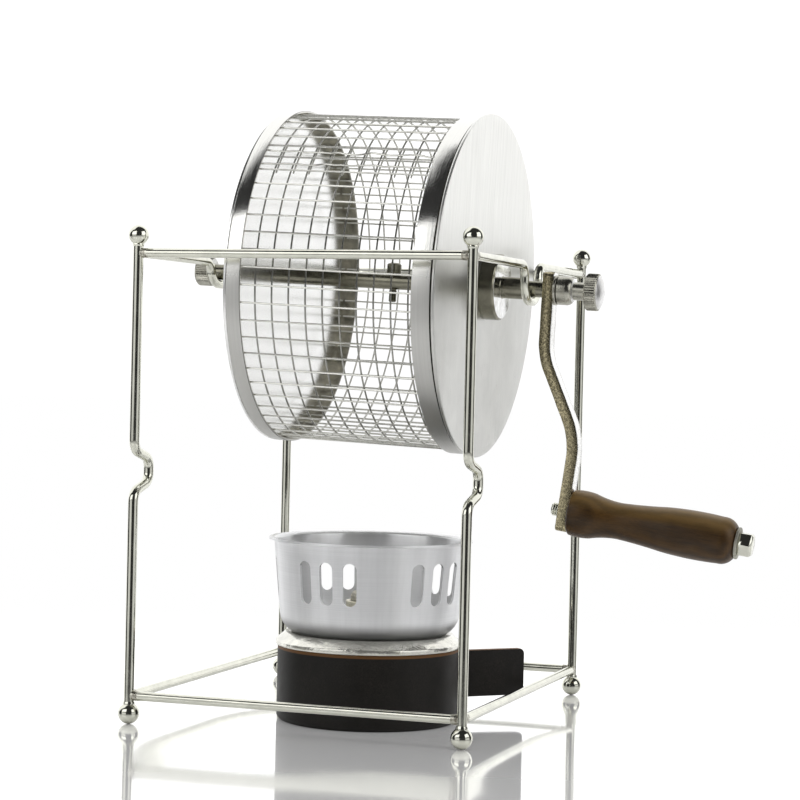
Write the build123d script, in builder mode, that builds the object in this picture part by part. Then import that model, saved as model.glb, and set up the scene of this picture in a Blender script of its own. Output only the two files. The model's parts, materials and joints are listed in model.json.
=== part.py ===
from build123d import *

import math
import os

# Hand-cranked coffee roaster: a wire-mesh drum turning in a bent-rod stand over a spirit burner.
# Millimetres, +Z up. The origin is on the floor, midway between the four posts. X runs along the top bars
# towards the crank, and the axle leans down that way because the right saddle is the deeper one.

# Fits between pieces
WELD_GAP = 0.05        # left between welded pieces of one body
RUN_GAP = 0.05         # radial, where a shaft turns or slides
SLIDE_GAP = 0.3        # radial, where the end cap slips over the mesh
FACE_GAP = 0.2         # along a shaft, between pieces that turn past each other

# Stand
STAND_WIDTH = 124.0    # between post centres, along X
STAND_DEPTH = 148.0    # between post centres, along Y
POST_D = 3.6
BAR_D = 3.3
FOOT_D = 7.6
FINIAL_D = 7.2
BOTTOM_BAR_Z = 10.1
TOP_BAR_Z = 167.5
FINIAL_RISE = 6.3      # finial centre above the top bars
KINK_Z = 90.0
KINK_DEPTH = 12.5
KINK_NOSE = 8.4        # height of the kink's inner face, before rounding
KINK_SLOPE = 75.0      # degrees from upright
KINK_BEND_R = 4.5
SADDLE_BEND_R = 3.4    # where a rail turns down

# Axle
AXLE_DROP = 6.1        # centre below the top bars, midway between the saddles
AXLE_LEAN = 2.3        # degrees, crank end down
AXLE_D = 6.0
STUB_D = 4.5           # reduced ends that carry the crank arm and the knob
CROSS_BOLT_X = 8.5
CROSS_BOLT_D = 3.0
CROSS_HEAD_D = 5.4
CROSS_HEAD_H = 4.0
CROSS_BOLT_REACH = 7.7  # tip below the axle's centre

# Drum
DRUM_X = 5.5           # middle of the drum
DRUM_LENGTH = 79.4     # over both end discs
BAND_D = 125.0
BAND_WIDTH = 7.0
BAND_T = 0.8
DISC_T = 1.2
RIGHT_DISC_D = 127.0   # stands a little proud of its band
DISC_EDGE_R = 0.45
WIRE_D = 1.0
WIRE_SIDES = 6
MESH_PITCH = 6.35
MESH_INSET = 0.5       # wire ends short of the discs
FIRST_RING = 3.0       # first ring from the edge of the left band
SEAM_CELL_COUNT = 6    # cells from the front of the drum up to the seam
SEAM_WIRES = 2         # doubled wires, one in each cell
HUB_D = 24.4
HUB_T = 6.0
HUB_NECK_D = 8.0
HUB_EDGE = 0.6
END_PLAY = 0.4         # between the hub's neck and the right saddle
CAP_HUB_D = 16.0
CAP_HUB_T = 6.0

# Crank
ARM_FACE = 67.6        # drum side of the upper arm; the arm's other sizes follow this side
ARM_T = 3.8
ARM_W = 7.0
ARM_TOP = 6.5          # above the axle
ARM_UPPER = 24.5       # axle to the first bend
ARM_SPREAD = 13.6      # outward throw of the slant
ARM_SLANT = 29.3       # height of the slant
ARM_LOWER = 26.6       # second bend to the grip bolt
ARM_END = 7.5          # below the grip bolt
ARM_BEND_R = 24.0
ARM_CORNER_R = 2.4
GRIP_TILT = 5.6        # degrees from the axle, outer end down
ARM_WASHER_D = 11.0
ARM_WASHER_T = 1.0

# Grip and its bolt; places along the grip are from its near end
GRIP_L = 61.5
GRIP_NEAR_D = 16.6
GRIP_COLLAR_D = 17.3
GRIP_COLLAR_AT = 4.5
GRIP_COVE_D = 16.6     # where the collar turns into the cove
GRIP_COVE_AT = 8.3
GRIP_COVE_MID_D = 14.3
GRIP_COVE_MID_AT = 13.0
GRIP_WAIST_D = 13.3
GRIP_WAIST_AT = 18.5
GRIP_RISE_D = 14.55
GRIP_RISE_AT = 27.0
GRIP_SWELL_D = 16.4
GRIP_SWELL_AT = 35.0
GRIP_BULGE_D = 17.6
GRIP_BULGE_AT = 48.0
GRIP_SHOULDER_D = 17.0
GRIP_SHOULDER_AT = 56.0
GRIP_ROUND_D = 15.0
GRIP_ROUND_AT = 59.8
GRIP_FAR_D = 11.2
GRIP_NEAR_R = 0.6
BOLT_D = 5.0
BOLT_TAIL = 3.2        # past the arm, on the drum's side
BOLT_HEAD_AF = 8.0
BOLT_HEAD_H = 5.0
GRIP_WASHER_D = 11.6
GRIP_WASHER_T = 1.0

# Thumb nut and end knob
NUT_COLLAR_D = 10.6
NUT_COLLAR_L = 3.9
NUT_NECK_D = 6.6
NUT_NECK_L = 6.8
NUT_TAPER = 1.9
NUT_HEAD_D = 13.6
NUT_HEAD_L = 4.7
NUT_DOME = 1.5
NUT_EDGE = 0.6
STUB_BITE = 9.0        # stub inside the thumb nut
KNOB_X = -66.6         # inner face of the knob
KNOB_D = 11.0
KNOB_L = 6.0
KNOB_EDGE = 0.6
KNOB_BITE = 4.4        # stub inside the knob

# Burner
BURNER_X = 10.3
BURNER_Y = -23.8
BASE_D = 66.5
BASE_H = 27.2
BASE_WALL = 1.6
BASE_FLOOR = 2.0
BASE_EDGE_R = 2.0
HANDLE_ANGLE = 43.0    # degrees from +X towards +Y
HANDLE_REACH = 63.5    # from the burner's centre
HANDLE_T = 3.0
HANDLE_LOW = 6.8
HANDLE_HIGH = 24.2
HANDLE_CORNER_R = 2.0
FONT_GAP = 0.2
FONT_WALL = 1.0
BEAD_OVER = 0.85       # bead beyond the base's wall
BEAD_H = 1.8
BEAD_R = 0.8
SHOULDER_INSET = 2.75  # edge of the shoulder inside the base's wall
SHOULDER_RISE = 3.0
TUBE_D = 17.6
TUBE_WALL = 1.6
TUBE_TOP = 43.5
TUBE_DIP = 12.0        # below the top of the font
TUBE_FLANGE_D = 23.0
TUBE_FLANGE_T = 1.0
WICK_STANDS = 3.5      # wick above the tube
WICK_LOW = 6.0
WICK_EDGE_R = 2.0
SCREEN_WALL = 0.8
SCREEN_HOLE_D = 24.0
SCREEN_FOOT_D = 62.6   # corner of the wall and the bottom
SCREEN_TOP_D = 69.2    # under the flared lip
SCREEN_LIP_D = 74.2
SCREEN_LIP_H = 2.3
SCREEN_TOP_Z = 65.8
SCREEN_FOOT_R = 5.0
SCREEN_LIP_R = 2.0
SLOT_W = 4.9
SLOT_L = 15.4
SLOT_Z = 51.9
SLOT_GROUPS = 5
SLOTS_EACH = 3
SLOT_STEP = 15.0       # degrees
SLOT_START = -98.0     # degrees, middle of the first group

# Values that follow from the sizes above
LEFT, RIGHT = -STAND_WIDTH / 2, STAND_WIDTH / 2
FRONT, REAR = -STAND_DEPTH / 2, STAND_DEPTH / 2
POST_PLACES = [(x, y) for x in (LEFT, RIGHT) for y in (FRONT, REAR)]
FINIAL_Z = TOP_BAR_Z + FINIAL_RISE
POST_LOW = FOOT_D / 2 + math.sqrt((FOOT_D / 2) ** 2 - (POST_D / 2) ** 2)
POST_HIGH = FINIAL_Z - math.sqrt((FINIAL_D / 2) ** 2 - (POST_D / 2) ** 2)
KINK_HALF = KINK_NOSE / 2 + KINK_DEPTH / math.tan(math.radians(KINK_SLOPE))
AXLE_Z = TOP_BAR_Z - AXLE_DROP
SADDLE_R = AXLE_D / 2 + RUN_GAP + BAR_D / 2
AXLE_LINE = Axis((0, 0, AXLE_Z), (1, 0, 0))
LEAN_LINE = Axis((0, 0, AXLE_Z), (0, 1, 0))
CAP_FACE = DRUM_X - DRUM_LENGTH / 2
DISC_FACE = DRUM_X + DRUM_LENGTH / 2
CAP_INNER = CAP_FACE + DISC_T
DISC_INNER = DISC_FACE - DISC_T
BAND_IN_R = BAND_D / 2 - BAND_T
MESH_R = BAND_IN_R - SLIDE_GAP - WIRE_D / 2
MESH_LOW = CAP_INNER + MESH_INSET
MESH_HIGH = DISC_INNER - MESH_INSET
WIRE_COUNT = round(2 * math.pi * MESH_R / MESH_PITCH)
RING_R = MESH_R - WIRE_D / 2 - WELD_GAP
RING_FIRST = CAP_INNER + BAND_WIDTH + FIRST_RING
RING_COUNT = int((MESH_HIGH - WIRE_D - RING_FIRST) / MESH_PITCH) + 1
SEAM_R = RING_R / math.cos(math.pi / WIRE_COUNT) + WELD_GAP + WIRE_D / 2
WIRE_STEP = 360 / WIRE_COUNT
ARM_OUT = ARM_FACE + ARM_T
NUT_X = ARM_OUT + ARM_WASHER_T + FACE_GAP
TILT = math.radians(GRIP_TILT)
GRIP_DIR = (math.cos(TILT), 0, -math.sin(TILT))
ARM_KNEE = (ARM_FACE + ARM_SPREAD, AXLE_Z - ARM_UPPER - ARM_SLANT)
BOLT_FOOT = (
    ARM_KNEE[0] - ARM_LOWER * math.sin(TILT),
    0,
    ARM_KNEE[1] - ARM_LOWER * math.cos(TILT),
)
GRIP_LINE = Axis(BOLT_FOOT, GRIP_DIR)
GRIP_NEAR = ARM_T + FACE_GAP
GRIP_FAR = GRIP_NEAR + GRIP_L
WASHER_NEAR = GRIP_FAR + FACE_GAP
HEAD_NEAR = WASHER_NEAR + GRIP_WASHER_T
BASE_R = BASE_D / 2
FONT_R = BASE_R - BASE_WALL - FONT_GAP
BEAD_D = BASE_D + 2 * BEAD_OVER
SHOULDER_D = BASE_D - 2 * SHOULDER_INSET
SHOULDER_Z = BASE_H + BEAD_H + SHOULDER_RISE
BURNER_LINE = Axis((BURNER_X, BURNER_Y, 0), (0, 0, 1))

os.makedirs("parts", exist_ok=True)


def write(shape, name):
    """Label a finished shape and write it under its node's name."""
    shape.label = name
    export_step(shape, f"parts/{name}.step")


def save(piece, name):
    """Write a piece of the stand or the burner where it was built."""
    write(piece.part, name)


def hang(piece, name):
    """Write a piece of the drum or the crank, built on a level axle, at the axle's lean."""
    write(piece.part.rotate(LEAN_LINE, AXLE_LEAN), name)


def across_axle(x):
    """Plane square to the axle at x, with its own x along +Y."""
    return Plane((x, 0, AXLE_Z), x_dir=(0, 1, 0), z_dir=(1, 0, 0))


def turned(plane, line, outline):
    """Turn a closed outline of (along, radius) points, drawn on the plane, about a line."""
    with BuildPart() as piece:
        with BuildSketch(plane):
            with BuildLine():
                Polyline(*outline, close=True)
            make_face()
        revolve(axis=line)
    return piece


AXLE_PLANE = Plane((0, 0, AXLE_Z), x_dir=(1, 0, 0), z_dir=(0, -1, 0))
GRIP_PLANE = Plane(BOLT_FOOT, x_dir=GRIP_DIR, z_dir=(0, -1, 0))
BURNER_PLANE = Plane((BURNER_X, BURNER_Y, 0), x_dir=(1, 0, 0), z_dir=(0, -1, 0))


# Stand: posts, bars, rails and balls

def straight_post(x, y):
    with BuildPart() as post:
        with BuildSketch(Plane((x, y, POST_LOW))):
            Circle(POST_D / 2)
        extrude(amount=POST_HIGH - POST_LOW)
    return post


def kinked_post(x, y):
    with BuildPart() as post:
        with BuildLine(Plane.YZ.offset(x)):
            FilletPolyline(
                (y, POST_LOW),
                (y, KINK_Z - KINK_HALF),
                (y + KINK_DEPTH, KINK_Z - KINK_NOSE / 2),
                (y + KINK_DEPTH, KINK_Z + KINK_NOSE / 2),
                (y, KINK_Z + KINK_HALF),
                (y, POST_HIGH),
                radius=KINK_BEND_R,
            )
        with BuildSketch(Plane((x, y, POST_LOW))):
            Circle(POST_D / 2)
        sweep()
    return post


def cross_bar(y, z):
    """Bar along X, with its ends coped to the posts."""
    with BuildPart() as bar:
        with BuildSketch(Plane((LEFT, y, z), z_dir=(1, 0, 0))):
            Circle(BAR_D / 2)
        extrude(amount=STAND_WIDTH)
        with Locations((LEFT, y, z), (RIGHT, y, z)):
            Cylinder(POST_D / 2 + WELD_GAP, 2 * BAR_D, mode=Mode.SUBTRACT)
    return bar


def cope_side_ends(x, z):
    """Trim the ends of the part being built to the posts and cross bars that it meets."""
    with Locations((x, FRONT, z), (x, REAR, z)):
        Cylinder(POST_D / 2 + WELD_GAP, 2 * BAR_D, mode=Mode.SUBTRACT)
        Cylinder(BAR_D / 2 + WELD_GAP, 4 * BAR_D, rotation=(0, 90, 0), mode=Mode.SUBTRACT)


def side_bar(x):
    with BuildPart() as bar:
        with BuildSketch(Plane((x, FRONT, BOTTOM_BAR_Z), z_dir=(0, 1, 0))):
            Circle(BAR_D / 2)
        extrude(amount=STAND_DEPTH)
        cope_side_ends(x, BOTTOM_BAR_Z)
    return bar


def saddle_rail(x):
    """Top rail that dips into an open saddle under the axle."""
    axle_z = AXLE_Z - x * math.tan(math.radians(AXLE_LEAN))
    bend_y = SADDLE_R + SADDLE_BEND_R
    bend_z = TOP_BAR_Z - SADDLE_BEND_R
    with BuildPart() as rail:
        with BuildLine(Plane.YZ.offset(x)):
            Line((FRONT, TOP_BAR_Z), (-bend_y, TOP_BAR_Z))
            CenterArc((-bend_y, bend_z), SADDLE_BEND_R, 90, -90)
            Line((-SADDLE_R, bend_z), (-SADDLE_R, axle_z))
            CenterArc((0, axle_z), SADDLE_R, 180, 180)
            Line((SADDLE_R, axle_z), (SADDLE_R, bend_z))
            CenterArc((bend_y, bend_z), SADDLE_BEND_R, 180, -90)
            Line((bend_y, TOP_BAR_Z), (REAR, TOP_BAR_Z))
        with BuildSketch(Plane((x, FRONT, TOP_BAR_Z), z_dir=(0, 1, 0))):
            Circle(BAR_D / 2)
        sweep()
        cope_side_ends(x, TOP_BAR_Z)
    return rail


for side, x in (("left", LEFT), ("right", RIGHT)):
    save(kinked_post(x, FRONT), f"front_{side}_post")
    save(straight_post(x, REAR), f"rear_{side}_post")
    save(saddle_rail(x), f"{side}_rail")
    save(side_bar(x), f"{side}_bottom_bar")

for end, y in (("front", FRONT), ("rear", REAR)):
    save(cross_bar(y, TOP_BAR_Z), f"{end}_top_bar")
    save(cross_bar(y, BOTTOM_BAR_Z), f"{end}_bottom_bar")

with BuildPart() as ball_feet:
    with Locations(*[(x, y, FOOT_D / 2) for x, y in POST_PLACES]):
        Sphere(FOOT_D / 2)
    split(bisect_by=Plane.XY.offset(POST_LOW), keep=Keep.BOTTOM)
save(ball_feet, "ball_feet")

with BuildPart() as ball_finials:
    with Locations(*[(x, y, FINIAL_Z) for x, y in POST_PLACES]):
        Sphere(FINIAL_D / 2)
    split(bisect_by=Plane.XY.offset(POST_HIGH), keep=Keep.TOP)
save(ball_finials, "ball_finials")


# Axle, with its reduced ends and the cross bolt's hole

STUB_LOW = KNOB_X - KNOB_BITE
STUB_HIGH = NUT_X + STUB_BITE

axle = turned(AXLE_PLANE, AXLE_LINE, [
    (STUB_LOW, 0),
    (STUB_LOW, STUB_D / 2),
    (KNOB_X + FACE_GAP, STUB_D / 2),
    (KNOB_X + FACE_GAP, AXLE_D / 2),
    (ARM_FACE, AXLE_D / 2),
    (ARM_FACE, STUB_D / 2),
    (STUB_HIGH, STUB_D / 2),
    (STUB_HIGH, 0),
])
with axle:
    with Locations((CROSS_BOLT_X, 0, AXLE_Z)):
        Cylinder(CROSS_BOLT_D / 2 + WELD_GAP, 2 * AXLE_D, mode=Mode.SUBTRACT)
hang(axle, "axle")

with BuildPart() as cross_bolt:
    with BuildSketch(Plane((CROSS_BOLT_X, 0, AXLE_Z - CROSS_BOLT_REACH))):
        Circle(CROSS_BOLT_D / 2)
    extrude(amount=CROSS_BOLT_REACH + AXLE_D / 2 + WELD_GAP)
    with BuildSketch(Plane((CROSS_BOLT_X, 0, AXLE_Z + AXLE_D / 2 + WELD_GAP))):
        Circle(CROSS_HEAD_D / 2)
    extrude(amount=CROSS_HEAD_H)
hang(cross_bolt, "cross_bolt")


# Drum ends: a fixed disc on the right and a slip-on cap on the left

def end_disc(x, diameter, bore):
    with BuildPart() as disc:
        with BuildSketch(across_axle(x)):
            Circle(diameter / 2)
            Circle(bore, mode=Mode.SUBTRACT)
        extrude(amount=DISC_T)
        rims = disc.edges().filter_by(GeomType.CIRCLE).sort_by(SortBy.RADIUS)[-2:]
        fillet(rims, DISC_EDGE_R)
    return disc


def rim_band(x):
    with BuildPart() as band:
        with BuildSketch(across_axle(x)):
            Circle(BAND_D / 2)
            Circle(BAND_IN_R, mode=Mode.SUBTRACT)
        extrude(amount=BAND_WIDTH)
    return band


hang(end_disc(DISC_INNER, RIGHT_DISC_D, AXLE_D / 2 + WELD_GAP), "right_disc")
hang(rim_band(DISC_INNER - BAND_WIDTH), "right_band")
hang(end_disc(CAP_FACE, BAND_D, AXLE_D / 2 + RUN_GAP), "left_disc")
hang(rim_band(CAP_INNER), "left_band")

HUB_STEP = DISC_FACE + HUB_T
HUB_END = RIGHT - BAR_D / 2 - END_PLAY
right_hub = turned(AXLE_PLANE, AXLE_LINE, [
    (DISC_FACE, AXLE_D / 2 + WELD_GAP),
    (DISC_FACE, HUB_D / 2),
    (HUB_STEP - HUB_EDGE, HUB_D / 2),
    (HUB_STEP, HUB_D / 2 - HUB_EDGE),
    (HUB_STEP, HUB_NECK_D / 2),
    (HUB_END, HUB_NECK_D / 2),
    (HUB_END, AXLE_D / 2 + WELD_GAP),
])
hang(right_hub, "right_hub")

CAP_HUB_END = CAP_FACE - CAP_HUB_T
left_hub = turned(AXLE_PLANE, AXLE_LINE, [
    (CAP_FACE, AXLE_D / 2 + RUN_GAP),
    (CAP_FACE, CAP_HUB_D / 2),
    (CAP_HUB_END + HUB_EDGE, CAP_HUB_D / 2),
    (CAP_HUB_END, CAP_HUB_D / 2 - HUB_EDGE),
    (CAP_HUB_END, AXLE_D / 2 + RUN_GAP),
])
hang(left_hub, "left_hub")


# Welded mesh: lengthwise wires outside, rings inside, and the doubled wires of its seam

with BuildPart() as mesh_wires:
    with BuildSketch(across_axle(MESH_LOW)):
        with PolarLocations(MESH_R, WIRE_COUNT):
            RegularPolygon(WIRE_D / 2, WIRE_SIDES)
    extrude(amount=MESH_HIGH - MESH_LOW)
hang(mesh_wires, "mesh_wires")

with BuildPart() as mesh_rings:
    ring_planes = [across_axle(RING_FIRST + MESH_PITCH * step) for step in range(RING_COUNT)]
    with BuildSketch(*ring_planes):
        for radius, mode in ((RING_R, Mode.ADD), (RING_R - WIRE_D, Mode.SUBTRACT)):
            RegularPolygon(radius, WIRE_COUNT, major_radius=False, rotation=WIRE_STEP / 2, mode=mode)
    extrude(amount=WIRE_D)
hang(mesh_rings, "mesh_rings")

with BuildPart() as seam_wires:
    first_seam = 180 - WIRE_STEP * (SEAM_CELL_COUNT + SEAM_WIRES - 0.5)
    with BuildSketch(across_axle(MESH_LOW)):
        with PolarLocations(SEAM_R, SEAM_WIRES, first_seam, WIRE_STEP * SEAM_WIRES):
            RegularPolygon(WIRE_D / 2, WIRE_SIDES)
    extrude(amount=MESH_HIGH - MESH_LOW)
hang(seam_wires, "seam_wires")


# Crank arm: a flat bar bent out and back, pierced for the axle and the grip bolt

with BuildPart() as crank_arm:
    with BuildSketch(Plane.XZ.offset(-ARM_W / 2)):
        with BuildLine():
            FilletPolyline(
                (ARM_FACE, AXLE_Z + ARM_TOP),
                (ARM_FACE, AXLE_Z - ARM_UPPER),
                ARM_KNEE,
                (BOLT_FOOT[0] - ARM_END * math.sin(TILT), BOLT_FOOT[2] - ARM_END * math.cos(TILT)),
                radius=ARM_BEND_R,
            )
            offset(amount=ARM_T, side=Side.LEFT)
        make_face()
    extrude(amount=ARM_W)
    for end_face in (crank_arm.faces().sort_by(Axis.Z)[0], crank_arm.faces().sort_by(Axis.Z)[-1]):
        fillet(end_face.edges().sort_by(Axis.Y)[0], ARM_CORNER_R)
    for end_face in (crank_arm.faces().sort_by(Axis.Z)[0], crank_arm.faces().sort_by(Axis.Z)[-1]):
        fillet(end_face.edges().sort_by(Axis.Y)[-1], ARM_CORNER_R)
    with BuildSketch(across_axle(ARM_FACE)):
        Circle(STUB_D / 2 + WELD_GAP)
    extrude(amount=ARM_T, mode=Mode.SUBTRACT)
    with BuildSketch(Plane(BOLT_FOOT, z_dir=GRIP_DIR)):
        Circle(BOLT_D / 2 + WELD_GAP)
    extrude(amount=ARM_T, mode=Mode.SUBTRACT)
hang(crank_arm, "crank_arm")

arm_washer = turned(AXLE_PLANE, AXLE_LINE, [
    (ARM_OUT, STUB_D / 2 + WELD_GAP),
    (ARM_OUT, ARM_WASHER_D / 2),
    (ARM_OUT + ARM_WASHER_T, ARM_WASHER_D / 2),
    (ARM_OUT + ARM_WASHER_T, STUB_D / 2 + WELD_GAP),
])
hang(arm_washer, "arm_washer")


# Wooden grip, turning on a bolt through the arm

def grip_point(along, diameter):
    return (GRIP_NEAR + along, diameter / 2)


with BuildPart() as grip:
    near_rim = grip_point(0, GRIP_NEAR_D)
    cove = grip_point(GRIP_COVE_AT, GRIP_COVE_D)
    waist = grip_point(GRIP_WAIST_AT, GRIP_WAIST_D)
    swell = grip_point(GRIP_SWELL_AT, GRIP_SWELL_D)
    shoulder = grip_point(GRIP_SHOULDER_AT, GRIP_SHOULDER_D)
    far_rim = grip_point(GRIP_L, GRIP_FAR_D)
    bore = BOLT_D / 2 + RUN_GAP
    with BuildSketch(GRIP_PLANE):
        with BuildLine():
            ThreePointArc(near_rim, grip_point(GRIP_COLLAR_AT, GRIP_COLLAR_D), cove)
            ThreePointArc(cove, grip_point(GRIP_COVE_MID_AT, GRIP_COVE_MID_D), waist)
            ThreePointArc(waist, grip_point(GRIP_RISE_AT, GRIP_RISE_D), swell)
            ThreePointArc(swell, grip_point(GRIP_BULGE_AT, GRIP_BULGE_D), shoulder)
            ThreePointArc(shoulder, grip_point(GRIP_ROUND_AT, GRIP_ROUND_D), far_rim)
            Polyline(far_rim, (GRIP_FAR, bore), (GRIP_NEAR, bore), near_rim)
        make_face()
    revolve(axis=GRIP_LINE)
    near_end = grip.edges().filter_by(GeomType.CIRCLE).group_by(GRIP_LINE)[0]
    fillet(near_end.sort_by(SortBy.RADIUS)[-1], GRIP_NEAR_R)
hang(grip, "grip")

with BuildPart() as grip_bolt:
    with BuildSketch(Plane(BOLT_FOOT, z_dir=GRIP_DIR).offset(-BOLT_TAIL)):
        Circle(BOLT_D / 2)
    extrude(amount=BOLT_TAIL + HEAD_NEAR)
    with BuildSketch(Plane(BOLT_FOOT, z_dir=GRIP_DIR).offset(HEAD_NEAR)):
        RegularPolygon(BOLT_HEAD_AF / 2, 6, major_radius=False)
    extrude(amount=BOLT_HEAD_H)
hang(grip_bolt, "grip_bolt")

grip_washer = turned(GRIP_PLANE, GRIP_LINE, [
    (WASHER_NEAR, BOLT_D / 2 + WELD_GAP),
    (WASHER_NEAR, GRIP_WASHER_D / 2),
    (HEAD_NEAR, GRIP_WASHER_D / 2),
    (HEAD_NEAR, BOLT_D / 2 + WELD_GAP),
])
hang(grip_washer, "grip_washer")


# Thumb nut on the crank end and knob on the far end, each on a reduced end of the axle

with BuildPart() as thumb_nut:
    neck_start = NUT_X + NUT_COLLAR_L
    head_start = neck_start + NUT_NECK_L
    head_end = head_start + NUT_HEAD_L
    dome_r = NUT_HEAD_D / 2 - NUT_EDGE
    outline = [
        (head_end, dome_r),
        (head_end - NUT_EDGE, NUT_HEAD_D / 2),
        (head_start, NUT_HEAD_D / 2),
        (head_start, NUT_NECK_D / 2),
        (neck_start + NUT_TAPER, NUT_NECK_D / 2),
        (neck_start, NUT_COLLAR_D / 2),
        (NUT_X, NUT_COLLAR_D / 2),
        (NUT_X, STUB_D / 2 + RUN_GAP),
        (STUB_HIGH + FACE_GAP, STUB_D / 2 + RUN_GAP),
        (STUB_HIGH + FACE_GAP, 0),
        (head_end + NUT_DOME, 0),
    ]
    with BuildSketch(AXLE_PLANE):
        with BuildLine():
            Polyline(*outline)
            TangentArc((head_end + NUT_DOME, 0), (head_end, dome_r), tangent=(0, 1))
        make_face()
    revolve(axis=AXLE_LINE)
hang(thumb_nut, "thumb_nut")

KNOB_END = KNOB_X - KNOB_L
end_knob = turned(AXLE_PLANE, AXLE_LINE, [
    (KNOB_X, STUB_D / 2 + RUN_GAP),
    (KNOB_X, KNOB_D / 2 - KNOB_EDGE),
    (KNOB_X - KNOB_EDGE, KNOB_D / 2),
    (KNOB_END + KNOB_EDGE, KNOB_D / 2),
    (KNOB_END, KNOB_D / 2 - KNOB_EDGE),
    (KNOB_END, 0),
    (STUB_LOW - FACE_GAP, 0),
    (STUB_LOW - FACE_GAP, STUB_D / 2 + RUN_GAP),
])
hang(end_knob, "end_knob")


# Burner: base cup with a flat handle, fuel font, wick and slotted windscreen

with BuildPart() as burner_base:
    with BuildSketch(BURNER_PLANE):
        with BuildLine():
            Polyline(
                (0, 0),
                (BASE_R, 0),
                (BASE_R, BASE_H),
                (BASE_R - BASE_WALL, BASE_H),
                (BASE_R - BASE_WALL, BASE_FLOOR),
                (0, BASE_FLOOR),
                close=True,
            )
        make_face()
    revolve(axis=BURNER_LINE)
    fillet(burner_base.edges().group_by(Axis.Z)[0].sort_by(SortBy.RADIUS)[-1], BASE_EDGE_R)
    turn = math.radians(HANDLE_ANGLE)
    handle_plane = Plane(
        (BURNER_X, BURNER_Y, 0),
        x_dir=(math.cos(turn), math.sin(turn), 0),
        z_dir=(math.sin(turn), -math.cos(turn), 0),
    )
    with BuildSketch(handle_plane):
        with Locations((BASE_R - BASE_WALL / 2, HANDLE_LOW)):
            Rectangle(
                HANDLE_REACH - BASE_R + BASE_WALL / 2,
                HANDLE_HIGH - HANDLE_LOW,
                align=(Align.MIN, Align.MIN),
            )
        fillet(vertices().group_by(Axis.X)[-1], HANDLE_CORNER_R)
    extrude(amount=HANDLE_T / 2, both=True)
save(burner_base, "burner_base")

TUBE_HOLE_R = TUBE_D / 2 + FONT_GAP
fuel_font = turned(BURNER_PLANE, BURNER_LINE, [
    (0, BASE_FLOOR),
    (FONT_R, BASE_FLOOR),
    (FONT_R, BASE_H),
    (BEAD_D / 2, BASE_H),
    (BEAD_D / 2, BASE_H + BEAD_H),
    (SHOULDER_D / 2, SHOULDER_Z),
    (TUBE_HOLE_R, SHOULDER_Z),
    (TUBE_HOLE_R, SHOULDER_Z - FONT_WALL),
    (SHOULDER_D / 2 - FONT_WALL, SHOULDER_Z - FONT_WALL),
    (FONT_R - FONT_WALL, BASE_H),
    (FONT_R - FONT_WALL, BASE_FLOOR + FONT_WALL),
    (0, BASE_FLOOR + FONT_WALL),
])
with fuel_font:
    fillet(fuel_font.edges().filter_by(GeomType.CIRCLE).sort_by(SortBy.RADIUS)[-2:], BEAD_R)
save(fuel_font, "fuel_font")

wick_tube = turned(BURNER_PLANE, BURNER_LINE, [
    (TUBE_D / 2 - TUBE_WALL, SHOULDER_Z - TUBE_DIP),
    (TUBE_D / 2, SHOULDER_Z - TUBE_DIP),
    (TUBE_D / 2, SHOULDER_Z),
    (TUBE_FLANGE_D / 2, SHOULDER_Z),
    (TUBE_FLANGE_D / 2, SHOULDER_Z + TUBE_FLANGE_T),
    (TUBE_D / 2, SHOULDER_Z + TUBE_FLANGE_T),
    (TUBE_D / 2, TUBE_TOP),
    (TUBE_D / 2 - TUBE_WALL, TUBE_TOP),
])
save(wick_tube, "wick_tube")

with BuildPart() as wick:
    with BuildSketch(Plane((BURNER_X, BURNER_Y, WICK_LOW))):
        Circle(TUBE_D / 2 - TUBE_WALL - FONT_GAP)
    extrude(amount=TUBE_TOP + WICK_STANDS - WICK_LOW)
    fillet(wick.edges().group_by(Axis.Z)[-1], WICK_EDGE_R)
save(wick, "wick")

with BuildPart() as windscreen:
    with BuildSketch(BURNER_PLANE):
        with BuildLine():
            FilletPolyline(
                (SCREEN_HOLE_D / 2, SHOULDER_Z),
                (SCREEN_FOOT_D / 2, SHOULDER_Z),
                (SCREEN_TOP_D / 2, SCREEN_TOP_Z - SCREEN_LIP_H),
                (SCREEN_LIP_D / 2, SCREEN_TOP_Z),
                radius=[SCREEN_FOOT_R, SCREEN_LIP_R],
            )
            offset(amount=SCREEN_WALL, side=Side.LEFT)
        make_face()
    revolve(axis=BURNER_LINE)
    slot_planes = []
    for group in range(SLOT_GROUPS):
        for place in range(SLOTS_EACH):
            across = place - (SLOTS_EACH - 1) / 2
            turn = math.radians(SLOT_START + 360 / SLOT_GROUPS * group + SLOT_STEP * across)
            slot_planes.append(Plane(
                (BURNER_X, BURNER_Y, SLOT_Z),
                x_dir=(-math.sin(turn), math.cos(turn), 0),
                z_dir=(math.cos(turn), math.sin(turn), 0),
            ))
    with BuildSketch(*slot_planes):
        SlotOverall(SLOT_L, SLOT_W, rotation=90)
    extrude(amount=SCREEN_LIP_D / 2, mode=Mode.SUBTRACT)
save(windscreen, "windscreen")
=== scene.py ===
"""Hand-cranked coffee roaster: a wire-mesh drum in a bent-rod stand, over a spirit burner.

Each operator builds one piece, or one group of like pieces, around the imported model.
Metres, +Z up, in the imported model's own frame: the front faces -Y, and the axle runs along X,
leaning down towards the crank.
"""

import json
import math

import bmesh
import bpy
from bpy.props import FloatProperty, FloatVectorProperty, IntProperty, PointerProperty
from mathutils import Matrix, Vector, noise


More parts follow.
